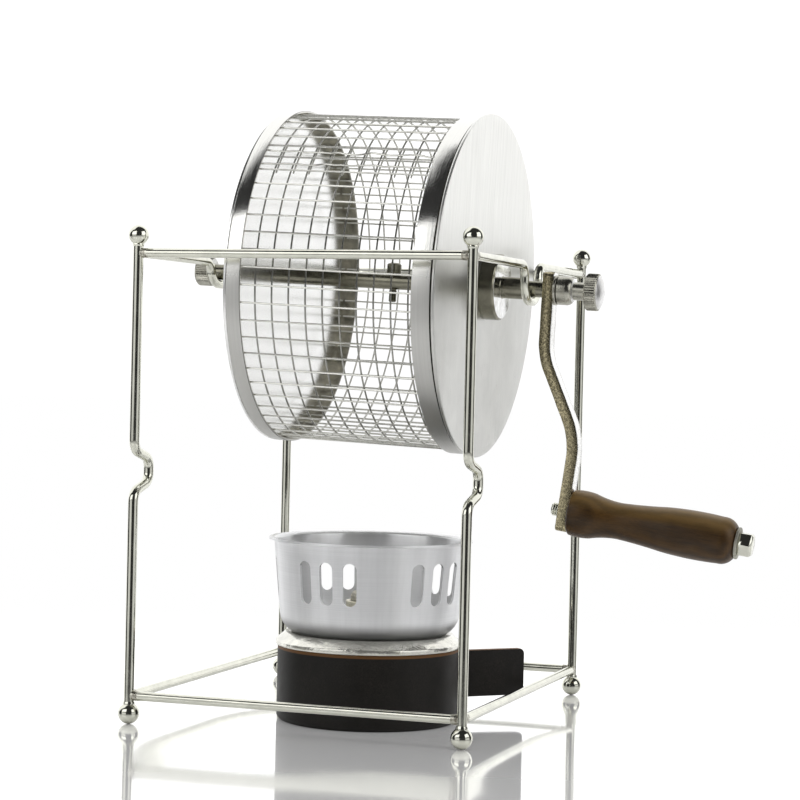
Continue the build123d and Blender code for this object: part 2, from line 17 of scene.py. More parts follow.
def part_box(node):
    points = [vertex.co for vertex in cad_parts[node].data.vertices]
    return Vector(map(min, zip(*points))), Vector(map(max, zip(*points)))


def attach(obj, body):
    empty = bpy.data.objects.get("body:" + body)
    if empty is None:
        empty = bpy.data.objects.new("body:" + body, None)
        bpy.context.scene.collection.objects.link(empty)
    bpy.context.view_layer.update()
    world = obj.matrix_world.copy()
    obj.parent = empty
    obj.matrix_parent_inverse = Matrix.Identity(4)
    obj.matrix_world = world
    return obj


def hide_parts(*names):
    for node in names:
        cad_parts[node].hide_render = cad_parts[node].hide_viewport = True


bl_info = {
    "name": "Drum Coffee Roaster",
    "version": (1, 0, 0),
    "blender": (4, 5, 0),
    "location": "View3D > Sidebar > Roaster",
    "description": "Builds the finished look of a hand-cranked drum coffee roaster",
    "category": "Add Mesh",
}

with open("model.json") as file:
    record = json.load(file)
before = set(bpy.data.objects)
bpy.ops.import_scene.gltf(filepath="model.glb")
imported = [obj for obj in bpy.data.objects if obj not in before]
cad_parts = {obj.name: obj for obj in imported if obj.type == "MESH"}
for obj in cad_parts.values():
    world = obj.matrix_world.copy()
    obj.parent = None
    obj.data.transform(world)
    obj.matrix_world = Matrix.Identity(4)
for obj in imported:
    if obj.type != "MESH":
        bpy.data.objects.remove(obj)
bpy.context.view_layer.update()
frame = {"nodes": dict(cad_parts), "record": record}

# Sizes and places read from the frame

MM = 0.001
X_WAY = Vector((1, 0, 0))
Y_WAY = Vector((0, 1, 0))
Z_WAY = Vector((0, 0, 1))
WHITE = (1, 1, 1, 1)
SKIN = 0.01 * MM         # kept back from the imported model's box
RUN_GAP = 0.05 * MM      # between a bolt or the axle and what turns on it
MERGE = 0.002 * MM       # points nearer than this are one
ROUGH_SEED = 7           # settles the lumps of welds, hammered faces and the wick
BODY_OF = {
    node: body
    for body, nodes in frame["record"]["behaviour"]["bodies"].items()
    for node in nodes
}
JOINTS = {joint["name"]: joint for joint in frame["record"]["behaviour"]["joints"]}


def low(node):
    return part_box(node)[0]


def high(node):
    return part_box(node)[1]


def middle(node):
    return (low(node) + high(node)) / 2


def extent(node):
    return high(node) - low(node)


def span(node, origin, axis):
    """A node's first and last station along an axis, and its largest radius about it."""
    places = [vert.co - origin for vert in frame["nodes"][node].data.vertices]
    stations = [place.dot(axis) for place in places]
    radii = [(place - axis * station).length for place, station in zip(places, stations)]
    return min(stations), max(stations), max(radii)


POST_D = extent("rear_left_post").x
BAR_D = extent("front_top_bar").z
LEFT, RIGHT = middle("rear_left_post").x, middle("rear_right_post").x
FRONT, REAR = middle("front_top_bar").y, middle("rear_top_bar").y
POST_LOW, POST_HIGH = low("rear_left_post").z, high("rear_left_post").z
TOP_BAR_Z = middle("front_top_bar").z
BOTTOM_BAR_Z = middle("front_bottom_bar").z
FOOT_R = high("ball_feet").x - RIGHT
FINIAL_R = high("ball_finials").x - RIGHT
FINIAL_Z = high("ball_finials").z - FINIAL_R
KINK_DEPTH = extent("front_left_post").y - POST_D

AXLE_POINT = Vector(JOINTS["drum_spin"]["pos_m"])
AXLE_WAY = Vector(JOINTS["drum_spin"]["axis"]).normalized()
AXLE_UP = AXLE_WAY.cross(Y_WAY)
AXLE_R = extent("axle").y / 2
GRIP_POINT = Vector(JOINTS["grip_spin"]["pos_m"])
GRIP_WAY = Vector(JOINTS["grip_spin"]["axis"]).normalized()
BURNER_POINT = Vector((middle("windscreen").x, middle("windscreen").y, 0))
AXLE_LINE = (AXLE_POINT, AXLE_WAY)
GRIP_LINE = (GRIP_POINT, GRIP_WAY)
BURNER_LINE = (BURNER_POINT, Z_WAY)


def axle_span(node):
    return span(node, *AXLE_LINE)


def grip_span(node):
    return span(node, *GRIP_LINE)


def burner_span(node):
    return span(node, *BURNER_LINE)


WIRE_R = axle_span("mesh_wires")[2]
BAND_R = axle_span("left_band")[2]


# Settings that a user would change

def length(name, description, millimetres):
    return FloatProperty(name=name, description=description, default=millimetres * MM, unit="LENGTH")


def angle(name, description, degrees):
    return FloatProperty(name=name, description=description, default=math.radians(degrees),
                         subtype="ANGLE")


def count(name, description, number):
    return IntProperty(name=name, description=description, default=number, min=2)


def colour(name, description, *parts):
    return FloatVectorProperty(name=name, description=description, default=parts, size=3,
                               subtype="COLOR")


class StandSettings(bpy.types.PropertyGroup):
    """Sizes and colours of the rod stand."""

    post_diameter: length("Post diameter", "Thickness of the upright rods", POST_D / MM)
    bar_diameter: length("Bar diameter", "Thickness of the bars and rails", BAR_D / MM)
    kink_height: length("Kink height", "Height of the middle of the front posts' kink", 90.0)
    kink_nose: length("Kink nose", "Height of the kink's inner face", 8.4)
    kink_slope: angle("Kink slope", "Slope of the kink's two legs, from upright", 75)
    kink_bend: length("Kink bend", "Bend radius of the kink, at the middle of the rod", 4.5)
    saddle_half: length("Saddle half width", "From the axle to the middle of a saddle's leg", 9.0)
    saddle_bend: length("Saddle bend", "Bend radius where a rail turns down beside the axle", 5.0)
    saddle_round: length("Saddle rounding", "Bend radius under the axle", 7.5)
    weld_reach: length("Weld reach", "How far a weld spreads along a bar", 1.9)
    rod_colour: colour("Rod colour", "Plated rods and balls", 0.745, 0.745, 0.655)
    weld_colour: colour("Weld colour", "Heat-stained metal at the welds", 0.30, 0.26, 0.20)


class DrumSettings(bpy.types.PropertyGroup):
    """Sizes and colours of the drum and its axle."""

    wire_diameter: length("Wire diameter", "Thickness of the mesh wires", 0.68)
    wire_count: count("Wires", "Lengthwise wires round the drum", 60)
    wire_turn: angle("Wire turn", "Turn of the wires and their seam about the axle", 1.0)
    ring_count: count("Rings", "Rings along the drum", 11)
    band_wall: length("Band wall", "Thickness of the bands", 0.8)
    left_band_width: length("Left band width", "Width of the end cap's band", 5.2)
    right_band_width: length("Right band width", "Width of the band at the crank's end", 7.6)
    band_groove: length("Band groove", "Groove between the right band and its disc", 0.8)
    scale_width: length("Scale width", "Width of the dark scale inside a band, from its disc", 4.5)
    edge_round: length("Sheet edge", "Rounding of the discs' edges", 0.4)
    seam_wave: length("Seam waviness", "How far the seam's loose wires wander", 0.55)
    hub_length: length("Hub length", "Length of the right hub's wide part", 6.0)
    hub_neck: length("Hub neck", "Diameter of the right hub's neck", 8.0)
    stub_diameter: length("Stub diameter", "Reduced ends of the axle", 4.5)
    sheet_colour: colour("Sheet colour", "Brushed sheet of the crank's end disc", 0.85, 0.85, 0.82)
    # Painted light: the far cap is the same metal as the crank's disc, painted paler for the light it
    # catches.
    lit_cap_colour: colour("Cap colour", "Pale sheet of the far end disc", 0.97, 0.97, 0.96)
    band_colour: colour("Band colour", "Rolled bands round the drum's ends", 0.82, 0.815, 0.785)
    # Real scale inside the bands; a near-black tint of it is the painted shadow in the bands' grooves.
    scale_and_groove_shadow_colour: colour("Scale colour", "Dull inside of the bands", 0.37, 0.35, 0.28)
    wire_colour: colour("Wire colour", "Drawn wire of the mesh", 0.88, 0.875, 0.82)
    steel_colour: colour("Turned steel", "Axle, hubs and cross bolt", 0.27, 0.26, 0.205)
    # Painted highlight: the end faces are the same steel, painted near white for the reflection they show.
    highlit_face_colour: colour("Faced steel", "Bright end faces of the hubs and nuts", 0.90, 0.895, 0.87)
    nut_colour: colour("Nut steel", "Thumb nut, end knob and washers", 0.48, 0.47, 0.41)


class CrankSettings(bpy.types.PropertyGroup):
    """Sizes and colours of the crank arm and its grip."""

    arm_thickness: length("Arm thickness", "Thickness of the flat bar", 4.3)
    arm_width: length("Arm width", "Width of the flat bar", 7.0)
    arm_upper: length("Upper arm", "From the axle to the first bend", 24.5)
    arm_spread: length("Arm spread", "Outward throw of the slant", 13.6)
    arm_slant: length("Arm slant", "Height of the slant", 29.3)
    arm_end: length("Arm end", "End of the bar below the grip bolt", 7.5)
    arm_bend: length("Arm bend", "Bend radius on the drum's side", 24.0)
    arm_corner: length("Arm corner", "Rounding of the bar's ends", 2.4)
    bolt_diameter: length("Bolt diameter", "Bolt through the grip", 5.0)
    bolt_head: length("Bolt head", "Height of the bolt's hexagon", 5.0)
    knob_shift: length("Knob shift", "How far the end knob is screwed in", 2.0)
    knurl_teeth: count("Knurl teeth", "Teeth round the thumb nut", 46)
    knurl_depth: length("Knurl depth", "Depth of the thumb nut's teeth", 0.28)
    arm_colour: colour("Arm colour", "Yellow passivated edges of the arm", 0.47, 0.415, 0.265)
    # Painted highlight: the arm's broad faces are the same bar, painted near white for the reflection they
    # show.
    highlit_broad_colour: colour("Arm's broad faces", "Bright broad faces of the arm", 0.98, 0.97, 0.93)
    wood_light: colour("Wood, light", "Lighter streaks of the stained grip", 0.082, 0.040, 0.008)
    wood_dark: colour("Wood, dark", "Darker streaks of the stained grip", 0.026, 0.0125, 0.003)
    # Painted highlight: a golden colour painted on the grip's upward faces, standing for light from above.
    painted_top_light: colour("Top highlight", "Paler wood on the side of the grip that rests uppermost", 0.24, 0.155, 0.053)


class BurnerSettings(bpy.types.PropertyGroup):
    """Sizes and colours of the spirit burner."""

    base_diameter: length("Base diameter", "Outside of the base cup", 66.5)
    base_height: length("Base height", "Height of the base cup", 27.2)
    base_wall: length("Base wall", "Wall of the base cup", 1.6)
    handle_angle: angle("Handle angle", "Turn of the handle from the crank's side to the back", 43)
    handle_reach: length("Handle reach", "From the burner's middle to the handle's end", 63.5)
    handle_low: length("Handle foot", "Lower edge of the handle", 6.8)
    handle_high: length("Handle top", "Upper edge of the handle", 24.2)
    handle_thickness: length("Handle thickness", "Thickness of the handle's plate", 3.0)
    bead_height: length("Bead height", "Height of the font's rolled bead", 1.8)
    shoulder_diameter: length("Shoulder", "Upper edge of the font's shoulder", 61.0)
    screen_hole: length("Windscreen hole", "Hole in the windscreen's bottom", 24.0)
    screen_foot: length("Windscreen foot", "Corner of the wall and the bottom, across", 62.6)
    screen_foot_round: length("Foot rounding", "Radius of the windscreen's foot", 7.5)
    screen_top: length("Windscreen top", "Across the wall, under the lip", 69.2)
    screen_lip_height: length("Lip height", "Height of the flared lip", 0.3)
    screen_wall: length("Windscreen wall", "Thickness of the spun wall", 0.8)
    slot_width: length("Slot width", "Width of a draught slot", 4.9)
    slot_length: length("Slot length", "Length of a draught slot", 15.4)
    slot_height: length("Slot height", "Height of the slots' middle", 51.9)
    slot_groups: count("Slot groups", "Groups of three slots round the wall", 5)
    slot_start: angle("Slot start", "Turn of the middle of the first group", -98)
    base_colour: colour("Base colour", "Matte black base and handle", 0.012, 0.0105, 0.009)
    # Painted highlight: brown painted on the upward faces of the base and handle, also used for the band
    # round the cup's rim.
    edge_highlight_brown: colour("Worn colour", "Browned upper edges of the base and handle", 0.16, 0.075, 0.025)
    font_colour: colour("Font colour", "Polished shoulder of the fuel font", 0.88, 0.87, 0.80)
    screen_colour: colour("Windscreen colour", "Satin spun aluminium", 0.89, 0.895, 0.905)
    brass_colour: colour("Brass colour", "Wick tube", 0.90, 0.84, 0.68)
    cotton_colour: colour("Cotton colour", "Wick", 0.80, 0.76, 0.64)


class StageSettings(bpy.types.PropertyGroup):
    """Camera, lamps and floor."""

    camera_place: FloatVectorProperty(
        name="Camera place", description="Where the camera stands",
        default=(0.294377, -0.834120, 0.130518), size=3, subtype="TRANSLATION", unit="LENGTH")
    camera_azimuth: angle("Camera azimuth", "How far the view is turned to the left of +Y", 18.6934)
    camera_elevation: angle("Camera elevation", "How far the view is tipped up", -0.8992)
    camera_roll: angle("Camera roll", "Turn of the camera about its view", 1.3332)
    camera_lens: FloatProperty(
        name="Lens", description="Focal length in millimetres on a 36 mm sensor", default=105.74)
    softbox_radiance: FloatProperty(
        name="Softbox radiance", description="Brightness of the lamps' faces, where 1 is white",
        default=1.45)
    high_radiance: FloatProperty(
        name="High softbox radiance", description="Brightness of the lamp overhead, where 1 is white",
        default=2.6)
    floor_colour: colour("Floor colour", "Pale glossy floor", 0.86, 0.86, 0.86)


# Modelling helpers

DRUM_STEPS = 160         # steps of a full turn, by the size of the piece
BURNER_STEPS = 128
HUB_STEPS = 96
TUBE_STEPS = 64
WASHER_STEPS = 56
BOLT_STEPS = 40


def plane_at(origin, along, out):
    """A matrix that lays (along, out) points at the origin, in two directions."""
    return Matrix.Translation(origin) @ Matrix((along, out, along.cross(out))).transposed().to_4x4()


def lay_wire(bm, outline, place, arc_step=math.radians(14)):
    """Lays an outline of (along, out) or (along, out, corner radius) points as edges.

    Corners with a radius are rounded. Returns the outline's edges."""
    verts = [bm.verts.new(place @ Vector((point[0], point[1], 0))) for point in outline]
    for near, far in zip(verts, verts[1:]):
        bm.edges.new((near, far))
    rounded = [(vert, point[2]) for vert, point in zip(verts, outline) if len(point) > 2]
    before = set(bm.edges) - {edge for vert in verts for edge in vert.link_edges}
    for vert, radius in rounded:
        ways = [(edge.other_vert(vert).co - vert.co).normalized() for edge in vert.link_edges]
        turn = math.pi - ways[0].angle(ways[1])
        bmesh.ops.bevel(
            bm, geom=[vert], offset=radius * math.tan(turn / 2), offset_type="OFFSET",
            segments=max(2, round(turn / arc_step)), profile=0.5, affect="VERTICES",
            clamp_overlap=False, material=-1)
    return [edge for edge in bm.edges if edge not in before]


def turned(bm, outline, origin, axis, steps, closed=False, out=None):
    """Turns an outline of (station, radius) or (station, radius, corner radius) points about
    the axis through the origin, from the direction out. A closed outline joins its ends."""
    place = plane_at(origin, axis, out or axis.orthogonal().normalized())
    edges = lay_wire(bm, outline + outline[:1] if closed else outline, place)
    verts = list(dict.fromkeys(vert for edge in edges for vert in edge.verts))
    bmesh.ops.spin(
        bm, geom=verts + edges, cent=origin, axis=axis, angle=math.tau, steps=steps,
        use_merge=True, use_duplicate=False)


def start_ring(bm, place, heading, radius, sides):
    """A circle of edges at the place, square to the heading."""
    turn = heading.to_track_quat("Z", "Y").to_matrix().to_4x4()
    ring = bmesh.ops.create_circle(
        bm, segments=sides, radius=radius, matrix=Matrix.Translation(place) @ turn)
    return ring["verts"] + list(dict.fromkeys(edge for vert in ring["verts"] for edge in vert.link_edges))


def pull_on(bm, ring, step):
    """Extrudes a ring of edges along a step and returns the new ring."""
    edges = [part for part in ring if isinstance(part, bmesh.types.BMEdge)]
    made = bmesh.ops.extrude_edge_only(bm, edges=edges)["geom"]
    verts = [part for part in made if isinstance(part, bmesh.types.BMVert)]
    bmesh.ops.translate(bm, verts=verts, vec=step)
    moved = set(verts)
    return verts + [part for part in made
                    if isinstance(part, bmesh.types.BMEdge) and moved.issuperset(part.verts)]


def close_holes(bm):
    bmesh.ops.holes_fill(bm, edges=[edge for edge in bm.edges if edge.is_boundary], sides=0)


def bent_rod(bm, points, radii, diameter, sides=24, arc_step=math.radians(9)):
    """A round rod along the points, bent to a radius at each inner one, with closed ends."""
    heading = (points[1] - points[0]).normalized()
    ring = start_ring(bm, points[0], heading, diameter / 2, sides)
    here = points[0]
    for corner, beyond, radius in zip(points[1:], points[2:], radii):
        ahead = (beyond - corner).normalized()
        turn = heading.angle(ahead)
        bend_start = corner - heading * radius * math.tan(turn / 2)
        if (bend_start - here).length > SKIN:
            ring = pull_on(bm, ring, bend_start - here)
        hinge = heading.cross(ahead).normalized()
        ring = bmesh.ops.spin(
            bm, geom=ring, cent=bend_start + hinge.cross(heading) * radius, axis=hinge, angle=turn,
            steps=max(2, round(turn / arc_step)), use_merge=False, use_duplicate=False)["geom_last"]
        here = corner + ahead * radius * math.tan(turn / 2)
        heading = ahead
    pull_on(bm, ring, points[-1] - here)
    close_holes(bm)


def plate(bm, outline, place, thickness, arc_step):
    """A flat plate: a closed outline, filled and raised along the place's third direction."""
    lay_wire(bm, outline + outline[:1], place, arc_step)
    bmesh.ops.remove_doubles(bm, verts=bm.verts, dist=MERGE)
    filled = bmesh.ops.edgeloop_fill(bm, edges=[edge for edge in bm.edges if edge.is_wire])
    raised = bmesh.ops.extrude_face_region(bm, geom=filled["faces"])["geom"]
    verts = [part for part in raised if isinstance(part, bmesh.types.BMVert)]
    bmesh.ops.translate(bm, verts=verts, vec=place.to_3x3().col[2] * thickness)
    close_holes(bm)


def round_edges(bm, edges, radius, steps):
    bmesh.ops.bevel(
        bm, geom=edges, offset=radius, offset_type="OFFSET", segments=steps, profile=0.5,
        affect="EDGES", clamp_overlap=True, material=-1)


def soften(bm, radius, steps=2, limit=math.radians(50)):
    """Rounds every edge that turns by more than a limit."""
    bmesh.ops.recalc_face_normals(bm, faces=bm.faces)
    edges = [edge for edge in bm.edges
             if edge.is_manifold and edge.calc_face_angle() > limit]
    round_edges(bm, edges, radius, steps)


def roughen(verts, size, reach):
    """Pushes vertices about by smooth noise of the given grain size, up to the reach."""
    noise.seed_set(ROUGH_SEED)
    for vert in verts:
        vert.co += noise.noise_vector(vert.co / size) * reach


def knurl(bm, first, last, radius, teeth, depth):
    """Cuts straight teeth round a stretch turned on the axle: every other line of vertices sinks in.

    The stretch was turned with twice as many steps as teeth."""
    out = AXLE_WAY.orthogonal().normalized()
    across = AXLE_WAY.cross(out)
    for vert in bm.verts:
        place = vert.co - AXLE_POINT
        station = place.dot(AXLE_WAY)
        spoke = place - AXLE_WAY * station
        if first < station < last and spoke.length > radius - SKIN:
            turn = math.atan2(spoke.dot(across), spoke.dot(out)) / math.tau * 2 * teeth
            if round(turn) % 2:
                vert.co -= spoke.normalized() * depth


def weld_collar(bm, place, heading, inner, outer, reach):
    """A lumpy weld round a rod, widest at the place and run out along the heading."""
    known = set(bm.verts)
    core, crown = inner * 0.6, outer * 0.94
    turned(bm, [(-reach * 0.5, core), (-reach * 0.3, crown, reach * 0.2), (reach * 0.3, crown, reach * 0.3),
                (reach, inner * 1.03), (reach * 1.02, core)], place, heading, steps=28, closed=True)
    roughen([vert for vert in bm.verts if vert not in known], 0.9 * MM, 0.22 * MM)


def arc_points(start, through, end, steps):
    """Points on the circle through three (station, radius) points, from the first to the last."""
    ax, ay = start
    bx, by = through
    cx, cy = end
    twice = 2 * (ax * (by - cy) + bx * (cy - ay) + cx * (ay - by))
    sa, sb, sc = ax * ax + ay * ay, bx * bx + by * by, cx * cx + cy * cy
    centre = Vector(((sa * (by - cy) + sb * (cy - ay) + sc * (ay - by)) / twice,
                     (sa * (cx - bx) + sb * (ax - cx) + sc * (bx - ax)) / twice))
    first, last = Vector(start) - centre, Vector(end) - centre
    sweep = -first.angle_signed(last)
    spokes = [Matrix.Rotation(sweep * step / steps, 2) @ first for step in range(steps + 1)]
    return [tuple(centre + spoke) for spoke in spokes]


def thread_outline(start, end, radius, pitch):
    """Crests and roots of a screw thread between two stations."""
    turns = max(1, int((end - start) / pitch))
    root = radius * 0.86
    outline = []
    for turn in range(turns):
        at = start + turn * pitch
        outline += [(at, root), (at + pitch * 0.4, radius), (at + pitch * 0.6, radius)]
    return outline + [(start + turns * pitch, root)]


def add_piece(name, bm, nodes, finish, sharp=math.radians(34), body=None, wall=0.0,
              second=None):
    """Makes a piece of a mesh. It stands for the named nodes and rides on their body, or on the
    body given where it stands for none. A wall thickens an open sheet inwards. The second finish
    comes with a test of the faces that take it."""
    bmesh.ops.remove_doubles(bm, verts=bm.verts, dist=MERGE)
    bmesh.ops.recalc_face_normals(bm, faces=bm.faces)
    if wall:
        bmesh.ops.solidify(bm, geom=bm.faces[:], thickness=wall)
    bm.normal_update()
    finishes = [finish]
    if second:
        finishes.append(second[0])
        for face in bm.faces:
            face.material_index = int(second[1](face))
    mesh = bpy.data.meshes.new(name)
    bm.to_mesh(mesh)
    bm.free()
    mesh.shade_smooth()
    mesh.set_sharp_from_angle(angle=sharp)
    for each in finishes:
        mesh.materials.append(each)
    piece = bpy.data.objects.new(name, mesh)
    bpy.context.scene.collection.objects.link(piece)
    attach(piece, body or BODY_OF[nodes[0]])
    if nodes:
        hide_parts(*nodes)


def turned_piece(name, node, finish, outline, line, steps, closed=True, second=None):
    """Makes a piece of an outline turned about a line. It stands for one node."""
    bm = bmesh.new()
    turned(bm, outline, *line, steps, closed)
    add_piece(name, bm, [node], finish, second=second)


# Finishes

def tint(colour, share):
    """A colour made lighter or darker by a share, with full alpha."""
    return (*[min(1.0, part * share) for part in colour], 1.0)


class Nodes:
    """A node tree that is being filled. Values given to a node are sockets, which are linked, or plain
    values, which are set."""

    def __init__(self, tree):
        self.tree = tree

    def add(self, kind, inputs=None, **settings):
        """Adds a node of a kind, with its settings and inputs, and returns its outputs."""
        made = self.tree.nodes.new("ShaderNode" + kind)
        for name, value in settings.items():
            setattr(made, name, value)
        for name, value in (inputs or {}).items():
            if isinstance(value, bpy.types.NodeSocket):
                self.tree.links.new(value, made.inputs[name])
            else:
                made.inputs[name].default_value = value
        return made.outputs

    def math(self, operation, *values):
        return self.add("Math", dict(enumerate(values)), operation=operation)[0]

    def vector(self, operation, *values):
        """Vector math that gives a vector."""
        return self.add("VectorMath", dict(enumerate(values)), operation=operation)["Vector"]

    def measure(self, operation, *values):
        """Vector math that gives a value."""
        return self.add("VectorMath", dict(enumerate(values)), operation=operation)["Value"]

    def parts(self, vector):
        return self.add("SeparateXYZ", {"Vector": vector})

    def noise(self, vector, scale, **more):
        return self.add("TexNoise", {"Vector": vector, "Scale": scale} | more)

    def spread(self, value, low_out, high_out, low_in=0.0, high_in=1.0, curve="LINEAR"):
        """Spreads a value from one range to another."""
        return self.add("MapRange", {
            "Value": value, "From Min": low_in, "From Max": high_in, "To Min": low_out,
            "To Max": high_out}, interpolation_type=curve)["Result"]

    def ramp(self, value, low_in, high_in, low_out=0.0, high_out=1.0):
        """Spreads a value from one range to another, softly at both ends."""
        return self.spread(value, low_out, high_out, low_in, high_in, "SMOOTHSTEP")

    def mix(self, factor, first, second):
        """Mixes two colours by a factor."""
        return self.add("Mix", {0: factor, 6: first, 7: second}, data_type="RGBA")[2]

    def tones(self, factor, colour, first, second):
        """Mixes two tints of one colour by a factor."""
        return self.mix(factor, tint(colour, first), tint(colour, second))


def metal_streaks(nodes, given):
    """Fine lines: noise drawn out by a stretch, as brushing and drawing leave on metal."""
    drawn = nodes.vector("MULTIPLY", given["Vector"], given["Stretch"])
    return nodes.noise(drawn, 1.0, Detail=4.0, Roughness=0.6)["Fac"]


def handling_marks(nodes, given):
    """Handling marks: soft blotches broken up by a finer grain."""
    per_metre = nodes.math("DIVIDE", 1.0, given["Size"])
    marks = nodes.noise(given["Vector"], per_metre, Detail=5.0, Roughness=0.55, Distortion=0.4)["Fac"]
    return nodes.spread(marks, 0.0, 1.0, 0.3, 0.7)


def round_coordinates(nodes, given):
    """Coordinates round a piece's own axis, taken as Z: turn times radius, radius and height."""
    parts = nodes.parts(given["Vector"])
    turn = nodes.math("ARCTAN2", parts["Y"], parts["X"])
    flat = nodes.add("CombineXYZ", {"X": parts["X"], "Y": parts["Y"]})["Vector"]
    return nodes.add("CombineXYZ", {
        "X": nodes.math("MULTIPLY", turn, given["Radius"]), "Y": nodes.measure("LENGTH", flat),
        "Z": parts["Z"]})["Vector"]


def low_side(nodes, given):
    """A mask that grows from nothing at a first height to one at a second: it places painted shade on the
    low sides of the discs, bands and windscreen, and the brown band at the burner base's rim.
    """
    return nodes.ramp(nodes.parts(given["Vector"])["Z"], given["Clean Height"], given["Dull Height"])


# The shared effects' sockets: the inputs, and the one output
EFFECTS = {
    metal_streaks: ({"Vector": "Vector", "Stretch": "Vector"}, ("Lines", "Float")),
    handling_marks: ({"Vector": "Vector", "Size": "Float"}, ("Marks", "Float")),
    round_coordinates: ({"Vector": "Vector", "Radius": "Float"}, ("Vector", "Vector")),
    low_side: ({"Vector": "Vector", "Clean Height": "Float", "Dull Height": "Float"}, ("Mask", "Float")),
}


def effect_group(effect):
    """The node group of a shared effect, built on its first use."""
    name = effect.__name__
    if name in bpy.data.node_groups:
        return bpy.data.node_groups[name]
    inputs, (output, output_kind) = EFFECTS[effect]
    tree = bpy.data.node_groups.new(name, "ShaderNodeTree")
    for label, kind in inputs.items():
        tree.interface.new_socket(label, in_out="INPUT", socket_type="NodeSocket" + kind)
    tree.interface.new_socket(output, in_out="OUTPUT", socket_type="NodeSocket" + output_kind)
    given = tree.nodes.new("NodeGroupInput").outputs
    result = tree.nodes.new("NodeGroupOutput").inputs
    tree.links.new(effect(Nodes(tree), given), result[output])
    return tree


class Finish(Nodes):
    """A material being mixed: its nodes, its shader and the coordinates that patterns read."""

    def __init__(self, name, **shader_values):
        self.material = bpy.data.materials.new(name)
        self.material.use_nodes = True
        super().__init__(self.material.node_tree)
        self.shader = self.tree.nodes["Principled BSDF"]
        for socket, value in shader_values.items():
            self.shader.inputs[socket.replace("_", " ")].default_value = value
        self.coords = self.add("TexCoord")["Object"]

    def normal(self):
        return self.add("TexCoord")["Normal"]

    def upward(self):
        """How far each face of the piece at rest is turned up."""
        return self.parts(self.normal())["Z"]

    def effect(self, effect, inputs):
        return self.add("Group", inputs, node_tree=effect_group(effect))[0]

    def along(self, origin, axis):
        """Coordinates whose Z runs along an axis through the origin."""
        turn = axis.to_track_quat("Z", "Y").to_euler()
        return self.add("Mapping", {"Vector": self.coords, "Location": origin, "Rotation": turn},
                        vector_type="TEXTURE")["Vector"]

    def round_coords(self, origin, axis, radius):
        """Coordinates round an axis through the origin."""
        return self.effect(round_coordinates, {"Vector": self.along(origin, axis), "Radius": radius})

    def streaks(self, stretch, coords=None):
        return self.effect(metal_streaks, {"Vector": coords or self.coords, "Stretch": stretch})

    def marks(self, size):
        return self.effect(handling_marks, {"Vector": self.coords, "Size": size})

    def low_side(self, clean, dull):
        return self.effect(low_side, {"Vector": self.coords, "Clean Height": clean, "Dull Height": dull})

    def feed(self, socket, value):
        self.tree.links.new(value, self.shader.inputs[socket])

    def bump(self, height, distance, strength):
        made = self.add("Bump", {"Height": height, "Distance": distance, "Strength": strength})
        self.feed("Normal", made["Normal"])


def plated_rod(stand):
    """Bright plated rod: nearly a mirror, with faint handling marks and drawing lines."""
    finish = Finish("plated_rod", Metallic=1.0)
    marks = finish.marks(7 * MM)
    finish.feed("Base Color", finish.tones(marks, stand.rod_colour, 0.9, 1.08))
    finish.feed("Roughness", finish.spread(marks, 0.06, 0.14))
    finish.bump(finish.streaks((900, 900, 900)), 0.01 * MM, 0.25)
    return finish.material


def weld_scale(stand):
    """Weld metal: rough, dull and temper-stained."""
    finish = Finish("weld_scale", Metallic=1.0)
    marks = finish.marks(1.2 * MM)
    finish.feed("Base Color", finish.mix(marks, tint(stand.weld_colour, 0.7), tint(stand.rod_colour, 1.0)))
    finish.feed("Roughness", finish.spread(marks, 0.42, 0.2))
    finish.bump(marks, 0.08 * MM, 0.5)
    return finish.material


def brushed_disc(name, sheet, contrast, dullest, low_shade):
    """Sheet brushed upright: long fine lines in tone, gloss and height, of a given contrast. Its lower
    side is painted darker, in blotches, by a share of its colour: painted shade."""
    finish = Finish(name, Metallic=1.0)
    coarse = finish.streaks((500, 900, 18))
    fine = finish.streaks((500, 4200, 60))
    both = finish.math("MULTIPLY_ADD", coarse, 0.5, finish.math("MULTIPLY", fine, 0.5))
    tone = finish.spread(both, 0.0, 1.0, 0.36, 0.64)
    brushed = finish.tones(tone, sheet, 1 - contrast, 1 + contrast)
    # Painted shade: a mask that darkens the sheet's lower side, in blotches.
    low_shade_mask = finish.low_side(AXLE_POINT.z + 30 * MM, AXLE_POINT.z - 10 * MM)
    patchy_shade = finish.math("MULTIPLY", low_shade_mask, finish.spread(finish.marks(14 * MM), 0.7, 1.0))
    finish.feed("Base Color", finish.mix(patchy_shade, brushed, tint(sheet, low_shade)))
    finish.feed("Roughness", finish.spread(tone, dullest, dullest * 0.75))
    finish.bump(both, 0.05 * MM, 0.35)
    return finish.material


